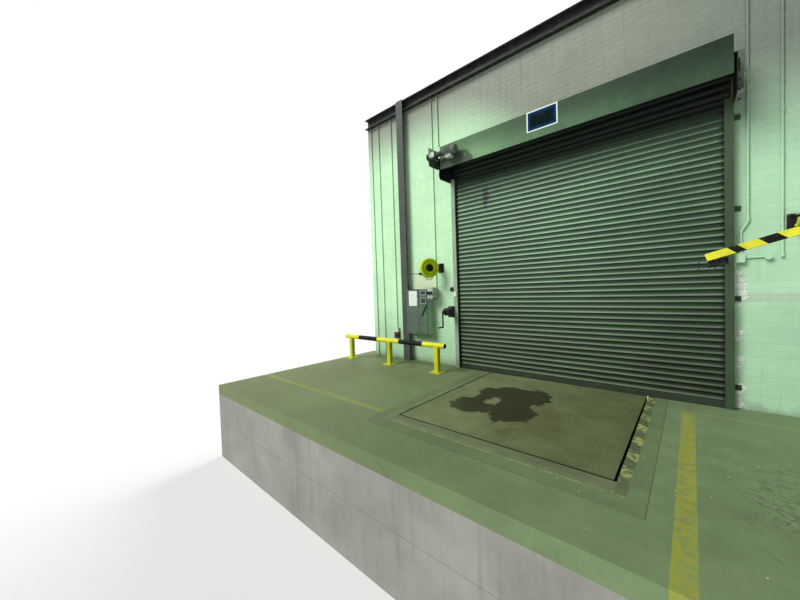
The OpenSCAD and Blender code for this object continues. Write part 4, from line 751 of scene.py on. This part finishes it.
def wall_core(node, outline):
    """The wall behind the brick faces, notched for the lintel's seat."""
    x0, x1, z0, z1 = outline
    bm = bmesh.new()
    points = [(x0, z0), (x1, z0), (x1, z1), (x0, z1)]
    if node.endswith("pier"):
        inner, outer = (x0, x1) if node == "wall_right_pier" else (x1, x0)
        seat = LINTEL_RECT[1] if inner > 0 else LINTEL_RECT[0]
        shelf = LINTEL_RECT[2]
        points = [(inner, z0), (outer, z0), (outer, z1), (seat, z1), (seat, shelf), (inner, shelf)]
    fronts = [Vector((x, WALL_FACE + RECESS, z)) for x, z in points]
    backs = [Vector((x, WALL_BACK - RECESS, z)) for x, z in points]
    add_loops(bm, [fronts, backs])
    return bm


# Deck tread: rows of low lens-shaped lugs, turned one way and the other

TREAD_PITCH = 0.038
TREAD_LENGTH = 0.026
TREAD_WIDTH = 0.009
TREAD_HEIGHT = 0.0013
TREAD_EDGE = 0.022
TREAD_START = 0.06


def deck_tread():
    """Raised lugs over the deck plate."""
    bm = bmesh.new()
    a, b = low("leveller_deck"), high("leveller_deck")
    back = WALL_BACK - TREAD_EDGE
    rows = int((back - a.y - TREAD_EDGE) / TREAD_PITCH)
    columns = int((b.x - a.x - 2 * TREAD_EDGE) / TREAD_PITCH)
    sides = [(-0.5, 0.0), (-0.22, -0.42), (0.22, -0.42), (0.5, 0.0), (0.22, 0.42), (-0.22, 0.42)]
    for row in range(rows + 1):
        for column in range(columns + 1):
            x = a.x + TREAD_EDGE + column * TREAD_PITCH
            y = a.y + TREAD_EDGE + row * TREAD_PITCH + TREAD_START
            middle = Vector((x, y, b.z))
            if middle.y > back:
                continue
            turn = pi / 4 if (row + column) % 2 else -pi / 4
            loops = []
            for share, height in ((1.12, -0.0006), (1.0, 0.0), (0.62, TREAD_HEIGHT)):
                loop = []
                for u, v in sides:
                    along = u * TREAD_LENGTH * share
                    across = v * TREAD_WIDTH * share
                    x = along * cos(turn) - across * sin(turn)
                    y = along * sin(turn) + across * cos(turn)
                    loop.append(middle + Vector((x, y, height)))
                loops.append(loop)
            add_loops(bm, loops)
    new_piece("deck_tread", bm, deck_steel("tread_steel"), "deck")


# Fasteners

LUG_HEIGHTS = (0.24, 1.243, 2.246, 3.249)
LUG_BOLT_X = GUIDE_OUT + 0.0377
PLATE_BOLT_HEIGHTS = (0.05, 0.155, 0.26, 0.365)
BEARING_PLACE = Vector((0, -0.215, (low("barrel").z + high("barrel").z) / 2))
BEARING_CIRCLE = 0.067
CRANK = PIVOTS["crank_turn"]
TO_ROOM = (0, -1, 0)


def wall_bolts(steel):
    """Bolts of the guides, end plates, brackets and crank, and a rivet on the right guide."""
    bm = bmesh.new()
    for side in (-1, 1):
        for height in LUG_HEIGHTS:
            add_bolt(bm, (side * LUG_BOLT_X, -0.008, FLOOR_Z + height), TO_ROOM, 0.0085, 0.004)
        for height in PLATE_BOLT_HEIGHTS:
            z = low("end_plate_left").z + height
            add_bolt(bm, (side * (GUIDE_OUT + 0.05), -0.008, z), TO_ROOM, 0.008, 0.004)
        for i in range(4):
            angle = pi / 4 + i * pi / 2
            y, z = BEARING_CIRCLE * cos(angle), BEARING_CIRCLE * sin(angle)
            add_bolt(bm, BEARING_PLACE + Vector((side * (GUIDE_OUT + 0.014), y, z)), (side, 0, 0), 0.007)
    for node in ("reel_bracket", "light_bracket"):
        a, b = low(node), high(node)
        middle = (a.z + b.z) / 2
        for x in (a.x + 0.015, b.x - 0.015):
            for z in (middle - 0.07, middle + 0.07):
                add_bolt(bm, (x, -0.01, z), TO_ROOM, 0.0075, 0.003)
    for x in (-0.035, 0.035):
        add_bolt(bm, (CRANK.x + x, -0.008, low("crank_gear").z + 0.01), TO_ROOM, 0.005)
    add_rivet(bm, (GUIDE_OUT - 0.03, -0.1, FLOOR_Z + 3.36), TO_ROOM, 0.007)
    new_piece("wall_bolts", bm, steel)


def case_screws(steel):
    """Screws that close the crank's gear case."""
    bm = bmesh.new()
    for x in (-0.028, 0.038):
        for z in (-0.098, 0.058):
            add_bolt(bm, (CRANK.x + x, -0.18, CRANK.z + z), TO_ROOM, 0.0035)
    new_piece("case_screws", bm, steel)


def rail_anchors(steel):
    """Anchor nuts of the guard rail's base plates."""
    bm = bmesh.new()
    posts = high("rail_posts").x - low("rail_posts").x
    half = 0.11
    for i in range(3):
        x = low("rail_posts").x + half + i * (posts - 2 * half) / 2
        y = (low("rail_posts").y + high("rail_posts").y) / 2
        for dx in (-0.085, 0.085):
            for dy in (-0.085, 0.085):
                add_bolt(bm, (x + dx, y + dy, FLOOR_Z + 0.012), (0, 0, 1), 0.0095, 0.01)
    new_piece("rail_anchors", bm, steel)


def hood_rivets(paint):
    """Rivets along the hood's wall flange and its ends."""
    bm = bmesh.new()
    front, top = HOOD_LOW.y, HOOD_HIGH.z - 0.025
    for i in range(25):
        x = HOOD_LOW.x + 0.03 + i * (HOOD_HIGH.x - HOOD_LOW.x - 0.06) / 24
        add_rivet(bm, (x, -0.003, top + 0.013), TO_ROOM, 0.006)
    for x in (HOOD_LOW.x + 0.014, HOOD_HIGH.x - 0.014):
        for k in range(5):
            z = HOOD_LOW.z + 0.03 + k * (top - HOOD_LOW.z - 0.06) / 4
            add_rivet(bm, (x, front, z), TO_ROOM, 0.006)
        for k in range(5):
            add_rivet(bm, (x, front + 0.05 + k * 0.09, top), (0, 0, 1), 0.006)
    new_piece("hood_rivets", bm, paint, smooth=True)


CONDUIT_R = 0.011
CONDUIT_Y = -0.014


def conduit_saddles(steel):
    """Strap clips that hold the conduits to the wall."""
    bm = bmesh.new()
    runs = [
        (-3.945, 1.62, 6.2, 0.94), (-3.715, 1.74, 6.2, 0.94), (-3.335, 2.2, 6.2, 0.94),
        (-2.265, 3.02, 6.2, 0.88), (-2.125, 5.72, 6.2, 0.55), (2.173, 3.22, 6.2, 0.74),
        (1.925, 3.6, 6.2, 0.74),
    ]
    for x, start, end, step in runs:
        z = start
        while z < end:
            add_saddle(bm, x, z)
            z += step
    new_piece("conduit_saddles", bm, steel)


def add_saddle(bm, x, z, width=0.018):
    """A strap over an upright conduit, with a screwed foot at each side."""
    inner, outer = CONDUIT_R + 0.0002, CONDUIT_R + 0.0018
    foot = 0.03
    outline = [(x - foot, 0.0), (x - foot, -0.0016), (x - outer, -0.0016)]
    outline += [(x - outer * cos(a), CONDUIT_Y - outer * sin(a)) for a in [pi * i / 10 for i in range(11)]]
    outline += [(x + outer, -0.0016), (x + foot, -0.0016), (x + foot, 0.0), (x + inner, 0.0)]
    outline += [(x + inner * cos(a), CONDUIT_Y - inner * sin(a)) for a in [pi * i / 10 for i in range(11)]]
    outline += [(x - inner, 0.0)]
    lower = [Vector((a, b, z - width / 2)) for a, b in outline]
    upper = [Vector((a, b, z + width / 2)) for a, b in outline]
    add_loops(bm, [lower, upper])
    for side in (-1, 1):
        add_rivet(bm, (x + side * 0.022, -0.0016, z), TO_ROOM, 0.004)


def add_nut(bm, at):
    """A washer and a plain nut."""
    add_turned(bm, at, [(0.019, -0.0003), (0.019, 0.0022), (0.018, 0.0028)], 20)
    add_turned(bm, at, [(0.0165, 0.0025), (0.0165, 0.013), (0.0145, 0.015)], 6)


def pivot_nuts(steel):
    """Washers and nuts on the upright pins of the two wall brackets and the elbow."""
    bm = bmesh.new()
    for node, joint in (("reel_bracket", "reel_swivel"), ("light_bracket", "arm_swing")):
        middle = (low(node).z + high(node).z) / 2
        for way in (-1, 1):
            add_nut(bm, pose((*PIVOTS[joint].xy, middle + way * 0.066), (0, 0, way)))
    new_piece("pivot_nuts", bm, steel)
    bm = bmesh.new()
    add_nut(bm, pose((*ELBOW.xy, high("light_outer_arm").z - 0.0042), (0, 0, 1)))
    new_piece("elbow_nut", bm, steel, "outer_arm")


# The lamp's glass, and small parts of the cabinet

def lamp_glass():
    """A shallow domed glass in the lamp's bezel."""
    turn = Matrix.Rotation(atan2(0.05, -0.784), 4, "Z") @ Matrix.Rotation(radians(5), 4, "Y")
    at = Matrix.Translation(PIVOTS["lamp_tilt"]) @ turn @ pose((0, -0.087, -0.011), (1, 0, 0))
    f = Finish("lamp_glass", 0.08, gloss=0.5)
    ring = f.sway(f.noise(0.01, 2.0))
    f.shader.inputs["Coat Weight"].default_value = 1.0
    glass = f.finish(f.mix(ring, (0.42, 0.47, 0.45), (0.6, 0.64, 0.6)), None, f.cells(0.008), 0.001)
    bm = bmesh.new()
    profile = [(0.0335, 0.0588), (0.0335, 0.0612), (0.028, 0.0635), (0.018, 0.0652), (0.006, 0.066)]
    add_turned(bm, at, profile, 32)
    new_piece("lamp_glass", bm, glass, "lamp", smooth=True)


CABINET_FRONT = -0.212
SHEET_LEFT = -2.815
SHEET_FOOT = 2.348
SHEET_WIDTH = 0.21
SHEET_HEIGHT = 0.297
SHEET_THICK = 0.0004


def cabinet_sheet():
    """A blank sheet, taped on the cabinet's left door and lifting at its lower corner."""
    f = Finish("paper", 0.7)
    stain = f.fit(f.noise(0.05, 4.0), 0.45, 0.75, 0.0, 0.3)
    colour = f.mix(stain, (0.66, 0.74, 0.64), (0.5, 0.54, 0.42))
    paper = f.finish(colour, None, f.noise(0.004, 3.0), 0.0003)
    bm = bmesh.new()
    columns, rows = 8, 10
    loops = []
    for row in range(rows + 1):
        v = row / rows
        front = []
        for column in range(columns + 1):
            u = column / columns
            curl = 0.012 * max(0.0, u - 0.45) ** 2 * max(0.0, 0.8 - v)
            wave = 0.0007 * sin(u * 5 + v * 3) ** 2
            y = CABINET_FRONT - 0.0012 - curl - wave
            front.append(Vector((SHEET_LEFT + SHEET_WIDTH * u, y, SHEET_FOOT + SHEET_HEIGHT * v)))
        loops.append(front + [point + Vector((0, SHEET_THICK, 0)) for point in reversed(front)])
    add_loops(bm, loops)
    new_piece("cabinet_sheet", bm, paper, smooth=True)


# Materials of single nodes, whose regions follow the shapes

def motor_paint():
    """Black plate and chain case, mint gear head, dark neck and a grey finned motor."""
    f = Finish("motor_paint", 0.5, gloss=0.15)
    x, y, z = f.axes()
    plate = low("motor_unit").x + 0.066
    gear = plate + 0.095
    neck = gear + 0.19
    cloud = f.noise(0.06, 5.0, 0.6)
    mint = f.mix(f.sway(cloud), (0.34, 0.46, 0.36), (0.48, 0.62, 0.48))
    mint = f.mix(f.fall(z, MOTOR_Z - 0.035, MOTOR_Z - 0.03), mint, (0.07, 0.085, 0.065))
    grey = f.mix(f.sway(cloud), (0.085, 0.105, 0.08), (0.145, 0.17, 0.13))
    box = f.mix(f.sway(cloud), (0.3, 0.36, 0.28), (0.42, 0.5, 0.4))
    grey = f.mix(f.fall(z, MOTOR_Z - 0.083, MOTOR_Z - 0.081), grey, box)
    tone = f.mix(f.fit(x, plate - 0.001, plate), BLACK, mint)
    tone = f.mix(f.fit(x, gear - 0.001, gear), tone, (0.03, 0.035, 0.03))
    tone = f.mix(f.fit(x, neck - 0.012, neck - 0.011), tone, grey)
    wheel = f.band(y, WHEEL_Y - WHEEL_R, WHEEL_Y + WHEEL_R)
    wheel = wheel * f.fall(z, WHEEL_Z + WHEEL_R, WHEEL_Z + WHEEL_R + 0.002)
    wheel = wheel * f.fit(x, plate + 0.03, plate + 0.032)
    tone = f.mix(wheel, tone, (0.2, 0.23, 0.19))
    grime = f.fit(f.noise(0.04, 5.0, 0.7), 0.52, 0.75, 0.0, 0.6)
    tone = f.mix(grime, tone, (0.04, 0.042, 0.03))
    return f.finish(tone, f.sway(cloud, 0.35, 0.6), f.noise(0.006, 3.0), 0.0004)


REEL_PLACE = PIVOTS["reel_swivel"] + Vector((-0.075, -0.22, 0))
REEL_TURN = radians(56)
REEL_R = 0.185


def reel_paint():
    """Yellow-green shells with painted shade in their groove and a painted highlight on the rim, a black
    hub and black fittings.
    """
    f = Finish("reel_plastic", 0.3, gloss=0.08)
    x, y, z = f.axes(f.local(REEL_PLACE, (0, 0, REEL_TURN)))
    radial = f.math("SQRT", x * x + z * z)
    cloud = f.noise(0.05, 4.0, 0.6)
    shell = f.mix(f.sway(cloud), (0.33, 0.52, 0.004), (0.44, 0.66, 0.008))
    # Painted highlight: the rim is paler on its left side
    rim = f.fit(radial, REEL_R * 0.86, REEL_R * 0.93) * f.fit(x, 0.0, -REEL_R * 0.6, 0.2, 0.8)
    shell = f.mix(rim, shell, (0.58, 0.68, 0.14))
    # Painted shade in the groove
    groove = f.band(radial, REEL_R * 0.655, REEL_R * 0.735, 0.001)
    shell = f.mix(groove, shell, (0.22, 0.34, 0.01))
    hub = f.fall(radial, REEL_R * 0.36, REEL_R * 0.37)
    outside = f.fit(radial, REEL_R + 0.0005, REEL_R + 0.001)
    behind = f.fit(y, 0.0655, 0.066)
    black = f.most(hub, outside, behind)
    dust = f.fit(f.noise(0.03, 5.0, 0.7), 0.55, 0.78, 0.0, 0.25)
    shell = f.mix(dust, shell, (0.16, 0.17, 0.07))
    tail = f.fit(radial, REEL_R * 1.28, REEL_R * 1.29) * f.fall(y, 0.05, 0.051)
    final = f.mix(black, shell, f.mix(tail, (0.007, 0.007, 0.007), (0.075, 0.11, 0.12)))
    return f.finish(final, f.sway(cloud, 0.24, 0.42), f.noise(0.003, 2.0), 0.0002)


def guide_paint(name, face, rest):
    """A guide whose room face is another tone than its sides and lugs."""
    f = Finish(name, 0.45)
    x, y, z = f.axes()
    cloud = f.noise(0.3, 5.0, 0.6)
    front = f.fall(y, -0.0995, -0.0985)
    tone = f.mix(front, rest, face)
    tone = f.shade(tone, f.sway(cloud, 0.85, 1.12))
    runs = f.runs(0.03, 0.06)
    tone = f.mix(f.fit(runs, 0.55, 0.8, 0.0, 0.5), tone, (0.03, 0.036, 0.024))
    chips = f.fit(f.noise(0.02, 5.0, 0.7), 0.62, 0.66, 0.0, 0.6)
    tone = f.mix(chips, tone, (0.16, 0.17, 0.13))
    return f.finish(tone, f.sway(cloud, 0.38, 0.58), f.noise(0.012, 3.0), 0.0004)


def end_plate_paint():
    """Near-black plates, with the wall's paint brushed thinly over their flanges."""
    f = Finish("end_plate_paint", 0.5, gloss=0.12)
    x, y, z = f.axes()
    cloud = f.noise(0.15, 5.0, 0.6)
    black = f.mix(f.sway(cloud), (0.008, 0.009, 0.008), (0.018, 0.021, 0.017))
    outside = f.fit(f.math("ABSOLUTE", x), GUIDE_OUT + 0.012, GUIDE_OUT + 0.014)
    flange = f.fit(y, -0.012, -0.011) * outside
    worn = f.mix(f.fit(f.noise(0.05, 5.0, 0.65), 0.4, 0.7), (0.115, 0.15, 0.112), (0.07, 0.086, 0.066))
    return f.finish(f.mix(flange, black, worn), f.sway(cloud, 0.42, 0.6), f.noise(0.01, 3.0), 0.0003)


def sensor_case():
    """The black sensor, with its white target plate on the guide."""
    f = Finish("sensor_case", 0.4)
    x, y, z = f.axes()
    cloud = f.noise(0.04, 4.0, 0.6)
    black = f.mix(f.fit(cloud, 0.4, 0.7), (0.012, 0.013, 0.012), (0.03, 0.033, 0.028))
    plate = f.fit(x, 0.002 - GUIDE_OUT, 0.003 - GUIDE_OUT) * f.fall(y, -0.0995, -0.0985)
    white = f.mix(f.fit(cloud, 0.4, 0.7), (0.72, 0.8, 0.7), (0.5, 0.56, 0.46))
    return f.finish(f.mix(plate, black, white), f.sway(cloud, 0.35, 0.5), f.noise(0.003, 2.0), 0.0002)


def button_case():
    """A white button box with a dark red lower part."""
    f = Finish("button_case", 0.4)
    z = f.axes()[2]
    cloud = f.noise(0.05, 4.0, 0.6)
    white = f.mix(f.fit(cloud, 0.4, 0.7), (0.6, 0.7, 0.58), (0.42, 0.48, 0.38))
    red = f.mix(f.fit(cloud, 0.4, 0.7), (0.105, 0.022, 0.014), (0.06, 0.03, 0.02))
    split = low("button_box").z + 0.132
    lower = f.fall(z, split - 0.001, split + 0.001)
    return f.finish(f.mix(lower, white, red), f.sway(cloud, 0.35, 0.55), f.noise(0.004, 2.0), 0.0002)


SOCKET_FRONT = -0.212


def socket_case():
    """A pale grey box with dark outlets and a brown foot."""
    f = Finish("socket_case", 0.4)
    x, y, z = f.axes()
    cloud = f.noise(0.05, 4.0, 0.6)
    grey = f.mix(f.fit(cloud, 0.4, 0.7), (0.42, 0.5, 0.42), (0.3, 0.35, 0.29))
    outlets = f.fall(y, SOCKET_FRONT - 0.0005, SOCKET_FRONT + 0.0005)
    tone = f.mix(outlets, grey, (0.022, 0.026, 0.028))
    foot = f.fit(z + cloud * 0.03, low("socket_box").z + 0.03, low("socket_box").z + 0.06, 0.8, 0.0)
    tone = f.mix(foot, tone, (0.085, 0.062, 0.035))
    return f.finish(tone, f.sway(cloud, 0.35, 0.55), f.noise(0.004, 2.0), 0.0002)


def cabinet_paint():
    """Grey-green doors, a pale side that is partly the wall's paint and partly painted light, pale window
    frames with dark panes, and a dark lever.
    """
    f = Finish("cabinet_paint", 0.45)
    x, y, z = f.axes()
    right, top = high("control_cabinet").x, high("control_cabinet").z
    cloud = f.noise(0.18, 5.0, 0.6)
    tone = f.mix(f.sway(cloud), f.shade(CABINET_GREEN, 0.86), f.shade(CABINET_GREEN, 1.14))
    tone = f.mix(f.fit(f.noise(0.1, 5.0, 0.65), 0.48, 0.75, 0.0, 0.35), tone, (0.2, 0.24, 0.17))
    # The pale right side: partly the wall's paint, partly painted light
    side = f.fit(x, right - 0.001, right - 0.0005)
    tone = f.mix(side, tone, f.shade((0.36, 0.5, 0.36), f.sway(cloud, 0.9, 1.1)))
    proud = f.fall(y, CABINET_FRONT - 0.0015, CABINET_FRONT - 0.0005)
    glazed = f.fit(z, top - 0.305, top - 0.303) * f.fit(x, right - 0.3, right - 0.298)
    pane = proud * f.fit(y, CABINET_FRONT - 0.0035, CABINET_FRONT - 0.003)
    fittings = f.mix(glazed, (0.018, 0.02, 0.018), (0.4, 0.5, 0.4))
    fittings = f.mix(pane * glazed, fittings, (0.03, 0.042, 0.04))
    doors_side = f.fit(x, low("control_cabinet").x + 0.02, low("control_cabinet").x + 0.022)
    tone = f.mix(proud * doors_side, tone, fittings)
    chips = f.fit(f.noise(0.015, 5.0, 0.7), 0.66, 0.7, 0.0, 0.6)
    tone = f.mix(chips, tone, (0.07, 0.07, 0.05))
    return f.finish(tone, f.sway(cloud, 0.36, 0.56), f.noise(0.012, 3.0), 0.0004)


GREEN_DARK = (0.036, 0.062, 0.032)
GREEN_PALE = (0.085, 0.13, 0.072)
COLUMN_GREY = (0.062, 0.076, 0.064)
CABINET_GREEN = (0.078, 0.122, 0.082)


def dress_nodes():
    """Every CAD node that stays, apart from the hood, gets its finish."""
    dock = concrete("dock_concrete", (0.27, 0.27, 0.24))
    dress(dock, "base_left", "base_right", "base_rear", "pit_floor")
    dress(floor_paint(), "floor_left", "floor_right", "floor_rear")
    dress(concrete("lintel_paint", (0.38, 0.52, 0.38), 0.3), "door_lintel")
    dress(painted_steel("column_paint", COLUMN_GREY, wear=0.2), "column_left", "column_right")
    dress(painted_steel("eaves_paint", (0.02, 0.024, 0.022), wear=0.1), "eaves_beam")
    dress(curb_steel(), "pit_curb")
    dress(painted_steel("leveller_paint", (0.125, 0.15, 0.08), (0.12, 0.08, 0.05), 0.3), "leveller_frame")
    dress(deck_steel("deck_steel"), "leveller_deck", "leveller_lip")
    dress(painted_steel("ram_paint", (0.02, 0.02, 0.022), wear=0.1), "ram_cylinder")
    dress(bare_steel("ram_chrome", (0.62, 0.62, 0.62), 0.16), "ram_rod")
    dress(plastic("bumper_rubber", (0.018, 0.018, 0.018), 0.75), "dock_bumpers")
    # The left guide's pale room face is painted light
    dress(guide_paint("guide_paint_left_painted_light", (0.27, 0.35, 0.25), GREEN_PALE), "guide_left")
    dress(guide_paint("guide_paint_right", (0.037, 0.067, 0.03), GREEN_DARK), "guide_right")
    dress(slat_steel(), "curtain")
    dress(painted_steel("rail_dark", (0.026, 0.036, 0.022), wear=0.2, dust=0.15), "bottom_rail")
    dress(painted_steel("barrel_paint", (0.03, 0.033, 0.03), wear=0.2), "barrel")
    dress(end_plate_paint(), "end_plate_left", "end_plate_right")
    dress(sign_face(), "sign_plate")
    dress(motor_paint(), "motor_unit")
    dress(plastic("crank_case", (0.014, 0.017, 0.015), 0.35, 0.3), "crank_gear")
    dress(sensor_case(), "guide_sensor")
    dress(painted_steel("crank_paint", (0.012, 0.013, 0.012), wear=0.3), "crank_handle")
    dress(painted_steel("bracket_paint", (0.012, 0.013, 0.012), wear=0.2), "reel_bracket", "light_bracket")
    dress(reel_paint(), "reel_case")
    dress(plastic("lamp_case", (0.01, 0.012, 0.01), 0.45), "lamp_head")
    dress(cabinet_paint(), "control_cabinet")
    dress(socket_case(), "socket_box")
    dress(button_case(), "button_box")
    dress(pipe_paint(), "conduits")
    dress(painted_steel("post_paint", (0.52, 0.56, 0.02), (0.1, 0.09, 0.05), 0.3), "rail_posts")
    dress(rail_bands(), "rail_tube")
    dress(inner_arm_bands(), "light_inner_arm")
    dress(outer_arm_bands(), "light_outer_arm")


def stripes(f, place, edges):
    """1 on the black bands, which lie between pairs of edges."""
    return f.most(*[f.band(place, start, end, 0.0012) for start, end in edges])


def scuffed_bands(f, black, yellow):
    """Yellow paint with black bands, scuffs and dirt."""
    paint = f.mix(black, yellow, BLACK)
    scuffs = f.fit(f.noise(0.03, 5.0, 0.7), 0.6, 0.7, 0.0, 0.7)
    dirt = f.fit(f.noise(0.12, 5.0, 0.6), 0.5, 0.8, 0.0, 0.3)
    final = f.mix(dirt, f.mix(scuffs, paint, (0.12, 0.12, 0.07)), (0.05, 0.052, 0.03))
    return f.finish(final, f.sway(f.noise(0.1, 4.0), 0.3, 0.5), f.noise(0.01, 3.0), 0.0003)


def uneven_yellow(f):
    """Yellow that is a little different from place to place."""
    return f.mix(f.sway(f.noise(0.2, 4.0)), f.shade(YELLOW, 0.86), f.shade(YELLOW, 1.08))


def rail_bands():
    """The guard rail's bands, with dark caps."""
    f = Finish("rail_paint", 0.4, gloss=0.1)
    left, right = low("rail_tube").x, high("rail_tube").x
    edges = [(left - 0.1, left + 0.008), (-3.93, -3.37), (-2.77, -2.19), (right - 0.008, right + 0.1)]
    return scuffed_bands(f, stripes(f, f.axes()[0], edges), uneven_yellow(f))


def along_arm(f, start, end):
    """The place along an arm, measured on the slant of its bands, and the height over its middle."""
    run = end - start
    climb = atan2(run.z, run.xy.length)
    x, y, z = f.axes(f.local(start, (0, -climb, atan2(run.y, run.x))))
    return x + z * ARM_SLANT, z


def inner_arm_bands():
    """The inner arm's even bands, measured from the elbow."""
    f = Finish("inner_arm_paint", 0.35)
    bands = f.math("PINGPONG", along_arm(f, ELBOW, PIVOTS["arm_swing"])[0], ARM_PERIOD)
    black = f.fit(bands, ARM_PERIOD / 2 - 0.001, ARM_PERIOD / 2 + 0.001)
    return scuffed_bands(f, black, YELLOW)


def outer_arm_bands():
    """The outer arm's bands, measured from its free end, and its black lug."""
    f = Finish("arm_paint", 0.4, gloss=0.1)
    place, height = along_arm(f, ARM_TIP, ELBOW - ARM_DROP)
    black = stripes(f, place, [(0.183, 0.254), (0.388, 0.507), (0.629, 0.749)])
    return scuffed_bands(f, f.most(f.fall(height, -0.0375, -0.0365), black), uneven_yellow(f))


# Light and stage

SURROUND_LIGHT = 0.3
STAGE_HALF = 40.0


def add_sun(name, towards, strength, angle=30):
    """A broad distant lamp, which lights from a direction."""
    data = bpy.data.lights.new(name, "SUN")
    data.energy = strength
    data.angle = radians(angle)
    light = bpy.data.objects.new(name, data)
    light.matrix_world = pose((0, 0, 8), towards)
    bpy.context.scene.collection.objects.link(light)


def make_stage():
    """A pale floor, a white surround that only the camera and mirrors see, and soft lamps."""
    world = bpy.data.worlds.new("surround")
    world.use_nodes = True
    nodes, links = world.node_tree.nodes, world.node_tree.links
    nodes.clear()
    lights = []
    for strength in (SURROUND_LIGHT, 1.0):
        background = nodes.new("ShaderNodeBackground")
        background.inputs["Strength"].default_value = strength
        background.inputs["Color"].default_value = (1.0, 1.0, 1.0, 1.0)
        lights.append(background.outputs[0])
    rays = nodes.new("ShaderNodeLightPath")
    seen = rays.outputs["Is Camera Ray"]
    for name in ("Is Glossy Ray", "Is Transmission Ray"):
        either = nodes.new("ShaderNodeMath")
        either.operation = "MAXIMUM"
        links.new(seen, either.inputs[0])
        links.new(rays.outputs[name], either.inputs[1])
        seen = either.outputs[0]
    mix = nodes.new("ShaderNodeMixShader")
    out = nodes.new("ShaderNodeOutputWorld")
    links.new(seen, mix.inputs[0])
    links.new(lights[0], mix.inputs[1])
    links.new(lights[1], mix.inputs[2])
    links.new(mix.outputs[0], out.inputs["Surface"])
    bpy.context.scene.world = world
    half = STAGE_HALF
    corners = [(-half, -half, 0), (half, -half, 0), (half, half, 0), (-half, half, 0)]
    mesh = bpy.data.meshes.new("stage_floor")
    mesh.from_pydata(corners, [], [(0, 1, 2, 3)])
    f = Finish("stage_floor", 0.85)
    mesh.materials.append(f.finish(f.mix(f.noise(3.0, 2.0), (0.76, 0.77, 0.76), (0.8, 0.8, 0.79))))
    floor = bpy.data.objects.new("stage_floor", mesh)
    bpy.context.scene.collection.objects.link(floor)
    add_sun("room_light", (-0.55, -1.0, 1.0), 3.3)
    add_sun("yard_light", (0, 1.0, 0.9), 1.5)


make_camera()
wall_bricks()
deck_tread()
ZINC = bare_steel("zinc")
HOOD = hood_paint()
dress(HOOD, "hood")
wall_bolts(painted_steel("bolt_paint", (0.042, 0.06, 0.038), (0.14, 0.09, 0.05), 0.3))
rail_anchors(ZINC)
hood_rivets(HOOD)
case_screws(ZINC)
conduit_saddles(pipe_paint())
pivot_nuts(ZINC)
lamp_glass()
cabinet_sheet()
dress_nodes()
make_stage()

bpy.context.scene.view_settings.view_transform = "Standard"
